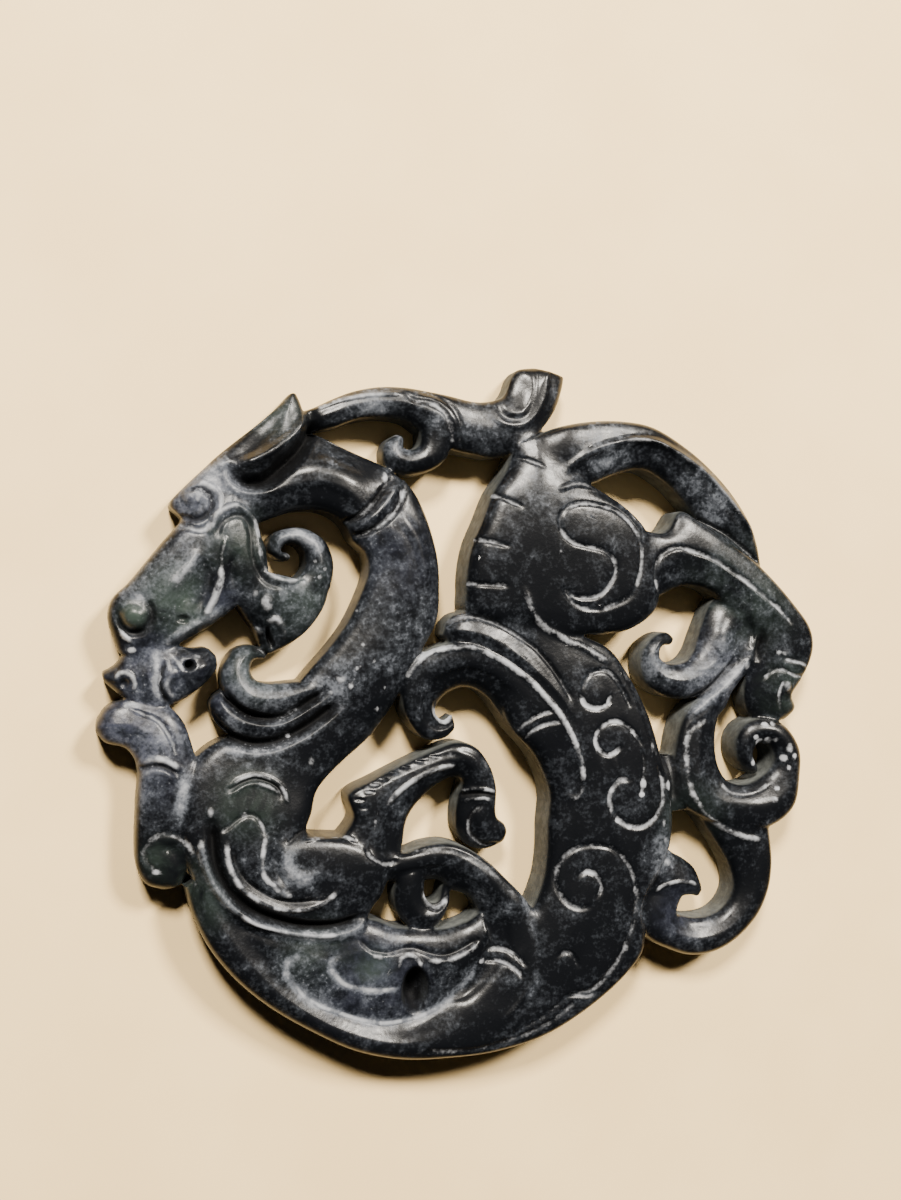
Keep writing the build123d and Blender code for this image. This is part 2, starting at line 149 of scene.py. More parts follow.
# Columns of a section: left edge x, left edge y, right edge x, right edge y, crest.
# Left and right are as met when walking down the table. Edges are in shares, and the
# crest is a share of stone_thickness.
LIMBS = {
    # Mane that sweeps back from the ear and ends in a fishtail
    "crest_band": [
        (-25.5, 38.8, -25, 36, 0.60),
        (-22.5, 39.8, -22.2, 36.8, 0.64),
        (-20, 41, -19.6, 37.3, 0.68),
        (-17, 42.2, -16.6, 38.4, 0.70),
        (-13.5, 42.9, -13.5, 38.8, 0.72),
        (-10, 42.9, -10.3, 38.5, 0.74),
        (-7, 42.5, -8.2, 37.2, 0.76),
        (-4, 42, -4.5, 35, 0.78),
        (-1, 41.4, -1, 34.2, 0.76),
        (1.2, 41.4, 2, 33.9, 0.76),
        (3.2, 42, 5, 34.7, 0.76),
        (4.2, 43.2, 8.2, 37, 0.74),
        (4.8, 44.8, 10.9, 40.3, 0.70),
        (5.8, 46, 12.1, 43.3, 0.66),
        (8, 46.4, 12.6, 45.3, 0.60),
    ],
    # Curl under the mane
    "crest_scroll": [
        (-3.6, 38.5, -8.4, 38.4, 0.74),
        (-3.7, 36, -8.1, 36.4, 0.76),
        (-4.6, 33.4, -8.2, 35.4, 0.76),
        (-6.8, 31.8, -8.7, 34.9, 0.74),
        (-9.6, 31.2, -9.4, 34.7, 0.72),
        (-12.3, 32, -10.1, 34.8, 0.70),
        (-13.2, 34, -10.3, 35.1, 0.68),
        (-12.6, 35.8, -10.2, 35.5, 0.64),
        (-11.2, 36.7, -10.1, 36.2, 0.58),
    ],
    # Ear plate, from its tip down to the forehead
    "ear": [
        (-24.7, 41.7, -25.6, 41.5, 0.62),
        (-24.1, 40.3, -27, 39.9, 0.70),
        (-23.6, 38.4, -28.8, 38.2, 0.76),
        (-23.4, 36.6, -30.8, 36.5, 0.82),
        (-25.2, 33.6, -32.8, 34.9, 0.86),
        (-27.8, 30.9, -34.6, 33.4, 0.86),
        (-30.6, 29.8, -35.6, 32.5, 0.84),
        (-32.8, 30.5, -36.3, 31.8, 0.76),
    ],
    # Forehead roll, down to its corner over the eye
    "brow": [
        (-30, 29, -34, 33.9, 0.80),
        (-32.5, 27, -36.5, 31.6, 0.82),
        (-34.8, 25.6, -39, 29.2, 0.82),
        (-36.8, 24.4, -40.7, 27.4, 0.78),
        (-39, 24.6, -41, 26.6, 0.70),
    ],
    # Roll from the forehead back to the neck
    "temple": [
        (-34, 31.5, -31, 24, 0.80),
        (-29.5, 31.5, -28.5, 25, 0.80),
        (-26, 32.3, -25, 26.2, 0.84),
        (-22, 33.4, -21.5, 26.2, 0.88),
        (-18, 32.2, -18.8, 24.8, 0.90),
        (-14.8, 30.4, -17.4, 22.4, 0.88),
        (-12.6, 28.4, -15.9, 21, 0.88),
    ],
    # Strip between the ear and the neck, over the temple
    "nape": [
        (-25.5, 37, -26.5, 32, 0.68),
        (-22, 36.2, -23, 32, 0.73),
        (-18, 34.4, -19.5, 31, 0.76),
        (-13.5, 32.5, -16, 28.5, 0.79),
        (-11, 30.8, -14, 26.5, 0.84),
        (-9.2, 29, -12.6, 25, 0.86),
    ],
    # Neck, from the nape down to the chest
    "neck": [
        (-10.4, 30.6, -18.8, 25, 0.84),
        (-8.6, 28.2, -17.2, 22.8, 0.88),
        (-7, 24.3, -15.7, 20.6, 0.92),
        (-5.9, 20, -15.4, 18.2, 0.92),
        (-5.7, 16, -16.5, 15, 0.92),
        (-6, 12, -18.3, 11.4, 0.90),
        (-8, 8, -20.7, 8.2, 0.90),
        (-10, 4.7, -23, 5.6, 0.89),
        (-12, 0.7, -25.5, 2.5, 0.85),
        (-14.7, -3.3, -28, -1.5, 0.78),
    ],
    # Snout, from the brow to the nose and upper lip
    "snout": [
        (-29.8, 27, -35.5, 30, 0.84),
        (-29.6, 23.8, -38.8, 25.8, 0.88),
        (-28.7, 20.6, -39.8, 24.3, 0.90),
        (-28.7, 17.6, -41.7, 22.1, 0.90),
        (-31.4, 14.8, -43.8, 19.5, 0.88),
        (-33.2, 13.2, -46, 16.8, 0.84),
        (-35.6, 11.4, -48, 14.8, 0.80),
        (-38, 10, -48.6, 12.4, 0.76),
        (-40, 8.8, -47.9, 9.8, 0.72),
        (-41.3, 7.4, -47.2, 7.8, 0.70),
    ],
    # Lower jaw, from the lip to the round boss at its corner
    "jaw": [
        (-49.3, 5.4, -49.1, 4.3, 0.52),
        (-47.6, 6.4, -47.2, 2.6, 0.62),
        (-46, 8.5, -45.5, 1.5, 0.68),
        (-43, 9.5, -43, 0.9, 0.72),
        (-40.5, 8.9, -40.3, 1.4, 0.74),
        (-38.2, 8.4, -38, 2.7, 0.77),
        (-36.3, 8.5, -36.2, 4.2, 0.74),
        (-35, 7.4, -34.9, 5.8, 0.62),
    ],
    # Cheek, from the corner of the mouth upward
    "cheek": [
        (-28.8, 7.9, -27.8, 7.6, 0.56),
        (-30.2, 10.6, -25.6, 8.8, 0.68),
        (-32, 13.2, -23.3, 10.6, 0.78),
        (-33.5, 16, -21.3, 13.4, 0.84),
        (-32, 19, -20.4, 16.2, 0.86),
    ],
    # Spiral that ends the cheek, its free tip hung in a small hole
    "cheek_scroll": [
        (-26, 16.8, -20.3, 16.2, 0.86),
        (-24, 18.4, -19.9, 18.6, 0.86),
        (-23.7, 20.2, -20.2, 20.7, 0.84),
        (-24.3, 21.4, -21.4, 22.7, 0.82),
        (-25.3, 21.9, -24, 24, 0.80),
        (-26.3, 21.7, -26.8, 23.7, 0.78),
        (-26.8, 21.1, -28.2, 22.6, 0.76),
        (-26.5, 20.8, -28.3, 21.1, 0.73),
        (-26, 20.8, -27.6, 20.1, 0.70),
        (-25.6, 20.6, -26.5, 19.7, 0.64),
        (-25.3, 20.3, -25.7, 19.7, 0.54),
    ],
    # Curl under the open mouth
    "throat_curl": [
        (-28.5, 6.9, -28.6, 8.1, 0.52),
        (-30, 6.9, -30.8, 8.8, 0.66),
        (-30.6, 6.2, -33, 8, 0.76),
        (-30.7, 5.3, -34.4, 5.6, 0.82),
        (-30.2, 4.4, -34.2, 2.9, 0.86),
        (-29.2, 3.9, -32.2, 0.5, 0.88),
        (-27.5, 3.8, -28.6, -0.1, 0.88),
        (-25.5, 4, -25.6, 0.5, 0.87),
        (-23.3, 4.2, -22.8, 2, 0.85),
        (-20.6, 5.2, -20, 3.2, 0.80),
    ],
    # Second fold below the curl
    "throat_fold": [
        (-33.7, 3.2, -35.3, 2.3, 0.54),
        (-33.2, 2.2, -35.9, 1, 0.66),
        (-32.2, 1.4, -35, -1.3, 0.74),
        (-30.8, 0.8, -32.8, -3.1, 0.79),
        (-28.8, 0.6, -29.5, -3.8, 0.81),
        (-26.2, 1.1, -25.9, -2.9, 0.82),
        (-23.4, 2.6, -22.4, -0.8, 0.82),
        (-20.4, 4.4, -18.8, 1.7, 0.82),
        (-17.3, 5, -16.3, 3, 0.72),
    ],
    # Beard, from its knob down the left side
    "beard": [
        (-50, -0.7, -50.1, -2.2, 0.56),
        (-48.7, 1.1, -48.8, -3.5, 0.68),
        (-46.5, 1.9, -46.6, -4.1, 0.72),
        (-44, 1.6, -45.5, -5.3, 0.74),
        (-41, 0.9, -45, -6.8, 0.76),
        (-39.2, -1, -44.9, -8.4, 0.78),
        (-38.1, -4, -45.1, -10.6, 0.78),
        (-37, -8.5, -45.2, -13.2, 0.78),
        (-36.8, -12, -45.3, -16, 0.76),
        (-37, -16, -45.1, -19.2, 0.74),
        (-38, -19.6, -43.9, -21.5, 0.70),
        (-39.4, -21.8, -41.8, -22.4, 0.62),
    ],
    # Chest and shoulder
    "shoulder": [
        (-12.5, 0.7, -22, 3, 0.82),
        (-14.9, -3.3, -27.5, -1.5, 0.81),
        (-18.9, -6.8, -35, -3.6, 0.79),
        (-21.9, -10, -38.6, -7, 0.83),
        (-22.8, -13, -39.5, -12, 0.90),
        (-23.2, -15.8, -39.5, -16.5, 0.92),
        (-17.5, -16.6, -38.6, -20, 0.94),
        (-12.6, -19.6, -37, -23, 0.94),
        (-13.2, -23.6, -33.5, -26.2, 0.90),
        (-14.9, -26.4, -29, -28.2, 0.84),
        (-15.4, -28.5, -23.5, -29.2, 0.76),
    ],
    # Body, from the haunch down the right side and round the bottom
    "body": [
        (14, 9.9, -2, 12.8, 0.84),
        (18.2, 8, 0.5, 9.5, 0.88),
        (20.2, 5.6, 2, 5, 0.92),
        (22.2, 2.3, 3, 0, 0.94),
        (24.2, -2, 4.6, -3.2, 0.96),
        (25.6, -6.5, 7.6, -6.7, 0.96),
        (27, -11, 9.6, -11.5, 0.96),
        (27.5, -15.5, 9.4, -16, 0.95),
        (27, -20, 9.3, -20, 0.94),
        (24.8, -24, 8.6, -24, 0.94),
        (23, -28, 6.5, -28.5, 0.94),
        (23.6, -31.5, 3, -33, 0.93),
        (22.6, -34.8, 0, -36.5, 0.92),
        (17.5, -39.6, -2.5, -38.3, 0.90),
        (10, -44, -5, -38.9, 0.90),
        (2.7, -46, -8, -39.7, 0.88),
        (-4, -46.4, -11, -41, 0.88),
        (-10.7, -46.2, -14, -40.8, 0.86),
        (-17, -44.6, -18, -39.4, 0.86),
        (-22.5, -41.8, -22, -37.4, 0.86),
        (-28, -38.3, -26, -34, 0.86),
        (-32.5, -34.4, -28.5, -30.5, 0.86),
        (-36, -30, -31, -27, 0.86),
        (-38.2, -25.5, -33, -24, 0.84),
        (-39.2, -21.9, -35, -19, 0.80),
    ],
    # Second foreleg, arched over its own opening
    "lower_arch": [
        (-12.5, -18.3, -15.5, -24, 0.78),
        (-10.3, -18.9, -11.8, -22.9, 0.82),
        (-7.5, -18, -8.5, -22.9, 0.84),
        (-4.5, -17.8, -5.5, -23, 0.86),
        (-2, -18.6, -4, -24.3, 0.88),
        (1, -20.5, -2, -25, 0.90),
        (3.6, -23, -0.6, -26.2, 0.90),
        (6, -25.5, 0.2, -28.3, 0.90),
        (8, -28.5, 0.4, -30.3, 0.90),
        (8.5, -32.5, 0.2, -32.3, 0.90),
        (7.5, -36.5, -1.6, -34.6, 0.88),
        (4.5, -40.5, -4, -36.8, 0.86),
        (0, -43, -6.5, -38.4, 0.84),
    ],
    # Scroll that hangs in that opening
    "arch_scroll": [
        (-7.4, -20.8, -11.4, -22.3, 0.76),
        (-7.5, -23.4, -11.7, -25, 0.74),
        (-7.4, -24.9, -11, -27.3, 0.72),
        (-6.8, -25.8, -9, -29.2, 0.70),
        (-6, -26, -6, -29.1, 0.70),
        (-5.4, -25.5, -4.4, -27.2, 0.66),
        (-5.2, -24.8, -3.8, -25.5, 0.62),
        (-5, -23.8, -4, -24.2, 0.58),
    ],
    # Lobe that the lower arch curls round
    "inner_lobe": [
        (-31, -26, -32, -30, 0.78),
        (-26.5, -27, -28.6, -34, 0.82),
        (-22, -27.7, -24.4, -37.5, 0.84),
        (-18, -27.7, -18.7, -40.2, 0.84),
        (-14.6, -27.6, -13.8, -41.6, 0.84),
        (-11.6, -28.8, -10.3, -41.5, 0.82),
        (-8, -29.2, -6.3, -40.2, 0.80),
        (-5, -29.4, -3.2, -38.3, 0.80),
        (-2, -28.7, -0.4, -35.8, 0.80),
        (0.2, -27.4, 1.4, -32, 0.80),
    ],
    # Foreleg, from the elbow over its arch to the claw
    "foreleg": [
        (-19, -16.5, -11.5, -21.5, 0.84),
        (-17.4, -14, -10.5, -18, 0.84),
        (-18, -10.9, -10, -15, 0.84),
        (-14.5, -9, -8.8, -12.9, 0.82),
        (-10.5, -7.1, -6.8, -10.9, 0.82),
        (-7, -5.6, -5, -9.7, 0.82),
        (-3.5, -4.4, -3.6, -9.2, 0.82),
        (-0.5, -5.2, -2.6, -9.5, 0.82),
        (1.5, -7.8, -2.3, -10.3, 0.80),
        (2.4, -10.5, -2.6, -11.3, 0.78),
        (2.4, -12.2, -3, -12.8, 0.78),
        (2.3, -13.7, -3.2, -14.6, 0.78),
        (2.6, -14.9, -2.9, -16.5, 0.76),
        (3.6, -15.7, -1.2, -18.6, 0.74),
        (4.1, -16.7, 1.2, -19.2, 0.68),
        (4, -17.8, 3, -18.6, 0.58),
    ],
    # Wing, a ribbon that hooks back on itself
    "wing_hook": [
        (10.8, -14.2, 14.4, -13.4, 0.93),
        (8.6, -8, 14.2, -7.5, 1.00),
        (6.4, -5, 12.9, -3.8, 1.00),
        (4.4, -3, 10.9, -0.3, 1.00),
        (2.6, -0.4, 8.3, 3, 0.98),
        (1.2, 1.4, 5.2, 5.6, 0.96),
        (-0.6, 2.6, 1.8, 7.8, 0.94),
        (-2.4, 2.8, -2, 9, 0.92),
        (-4.2, 2.1, -6, 8.4, 0.90),
        (-5.2, 1.2, -9.2, 6.6, 0.88),
        (-5.8, 0.3, -10.8, 3.5, 0.86),
        (-5.8, -0.6, -10.7, 0.4, 0.84),
        (-5.3, -1.3, -9.7, -1.9, 0.80),
        (-4.7, -1.6, -7.6, -3.9, 0.78),
        (-4, -1.3, -5, -4, 0.74),
        (-3.4, -0.8, -3.3, -2.9, 0.68),
    ],
    # Feather band along the wing's upper side
    "upper_band": [
        (-4.7, 11.5, -5, 9.8, 0.66),
        (-3.2, 12.8, -3.6, 8.4, 0.80),
        (-0.5, 12.9, -1.5, 7.6, 0.88),
        (2.5, 11.6, 1, 6.6, 0.92),
        (5.5, 9.4, 4, 4.8, 0.94),
        (8.5, 6.5, 7, 2.6, 0.96),
        (11.2, 3.6, 9.5, 0.3, 0.98),
        (13.2, 0.6, 11.4, -2.4, 0.98),
    ],
    # Low web between the body and the cloud scroll
    "cloud_web": [
        (30.4, -7.4, 24, -6.6, 0.62),
        (30.4, -9.6, 25, -9.2, 0.76),
        (30.6, -12, 25, -12, 0.80),
        (31, -14.8, 25.4, -15, 0.70),
    ],
    # Haunch, the broadest and highest form
    "haunch": [
        (10, 37.6, 4.9, 35.6, 0.84),
        (12.2, 33.6, 3.8, 32.4, 0.91),
        (15.6, 30.4, 1.7, 29.2, 0.96),
        (20.2, 27.6, 0.1, 25.4, 0.99),
        (23.5, 24.4, -1.3, 22.1, 1.00),
        (25, 21, -2, 18.7, 0.99),
        (25.8, 17, -2.1, 15.6, 0.97),
        (25.2, 13.2, -1.8, 13, 0.94),
        (21.6, 10.6, 2.5, 11.6, 0.90),
        (17.4, 9.8, 6, 10.5, 0.86),
    ],
    # Tail, arched over the haunch
    "tail_arc": [
        (7.4, 36.8, 8.4, 31.6, 0.82),
        (10.8, 38.1, 11.8, 30.5, 0.91),
        (15, 39, 15.6, 30.4, 0.90),
        (20, 39.3, 19.5, 31.9, 0.88),
        (25, 38.6, 23.5, 32.7, 0.86),
        (30, 35.9, 27, 31, 0.84),
        (34, 32.8, 29.5, 28.8, 0.82),
        (37.3, 29.4, 32, 26, 0.80),
        (39.8, 25.8, 35, 23.6, 0.78),
        (41.3, 22.4, 38.3, 21.6, 0.74),
        (42, 19.6, 41, 19.2, 0.66),
    ],
    # Hind leg, from the haunch to the paw
    "hind_leg": [
        (21, 25, 23, 13.5, 0.92),
        (26.3, 24, 26.3, 15.2, 0.88),
        (29, 27, 28.8, 16.4, 0.86),
        (32, 25.6, 31.2, 16.6, 0.86),
        (36, 23.2, 34, 15.8, 0.86),
        (40, 20.5, 36.5, 13.6, 0.86),
        (43.8, 17.1, 39, 11.8, 0.86),
        (47, 13.7, 40.5, 10, 0.84),
        (49.2, 10.9, 39.8, 8.2, 0.82),
        (49.9, 8.2, 39.7, 6, 0.80),
        (49.3, 5.5, 39.6, 4, 0.78),
        (47.9, 2.9, 39.4, 2, 0.76),
        (46.8, 1, 39.6, 0, 0.72),
        (47.6, -0.9, 40.5, -1.8, 0.66),
        (46.3, -2.5, 42.5, -3, 0.58),
    ],
    # Curl under the hind leg
    "paw_curl": [
        (28.4, 8.2, 29, 9.3, 0.52),
        (27.5, 8.3, 27.6, 10.1, 0.62),
        (26.7, 8, 25.6, 9.6, 0.70),
        (26.3, 7.3, 24, 8.1, 0.74),
        (26.4, 6.5, 23.4, 5.8, 0.76),
        (27.2, 5.9, 24.3, 2.9, 0.78),
        (28.7, 5.7, 27.3, 1, 0.80),
        (30.3, 6.2, 31.5, 0.9, 0.82),
        (31.5, 7.6, 34.8, 2.6, 0.80),
        (32.3, 9.6, 38, 4.8, 0.77),
        (33.3, 12, 40.2, 7.6, 0.73),
        (34.6, 14.4, 41, 9.8, 0.67),
        (36.6, 16.2, 41.8, 11.4, 0.60),
    ],
    # Cloud scroll on the right, from its stem to its centre
    "cloud_stem": [
        (41.6, 6.6, 38.6, 8.6, 0.74),
        (39.6, 4.2, 36.8, 5.4, 0.76),
        (38.6, 3, 35.6, 3.8, 0.76),
        (37.4, 1.5, 34.3, 2.2, 0.76),
        (36.5, -0.6, 32, 0.6, 0.76),
        (35.3, -1.9, 29.9, -1.3, 0.78),
        (34.8, -4, 28.8, -4, 0.80),
        (34.7, -6.5, 28.3, -7, 0.82),
        (35.2, -9, 28, -10.5, 0.84),
        (36.5, -10.9, 29, -13.5, 0.84),
        (38.6, -11.5, 32.5, -16, 0.84),
        (40.6, -11.1, 37, -17.4, 0.84),
        (42.4, -10.1, 42.3, -17.8, 0.84),
        (43.4, -9.1, 46.4, -15.2, 0.84),
        (43.7, -8, 47.6, -10.8, 0.82),
        (43.4, -6.8, 47.6, -6.6, 0.82),
        (42.6, -6, 45.3, -3.2, 0.80),
        (41.3, -5.8, 41.8, -2.2, 0.78),
        (41, -6.4, 39.3, -3, 0.76),
        (40.7, -7.2, 37.9, -5.1, 0.74),
        (40.9, -8.1, 38.2, -7.9, 0.72),
        (41.4, -8.7, 39.6, -9.6, 0.68),
        (41.9, -9.3, 41.2, -10.4, 0.58),
    ],
    # Hook below the cloud scroll
    "tail_hook": [
        (42.9, -16.8, 31, -14, 0.74),
        (43.3, -20, 34.8, -19.3, 0.76),
        (43.5, -23, 36.8, -22.6, 0.76),
        (43, -26.5, 37.6, -25.5, 0.76),
        (41.4, -30, 37, -27.7, 0.76),
        (38.5, -33, 35.5, -29.3, 0.76),
        (35, -34.9, 33.5, -30, 0.76),
        (31, -35.3, 31, -30, 0.76),
        (27.3, -34.1, 29, -29.4, 0.78),
        (24, -32.3, 29, -28.5, 0.80),
        (21.5, -29, 29.4, -27.6, 0.80),
        (21.5, -26, 29.9, -26.9, 0.78),
    ],
    # Point inside that hook
    "tail_beak": [
        (25.2, -18, 22, -27, 0.80),
        (27.9, -20.5, 26.8, -27.6, 0.78),
        (30, -21.7, 29.9, -27, 0.74),
        (31.8, -23.2, 31.4, -27, 0.68),
        (33, -25.5, 32.6, -27.4, 0.58),
    ],
}
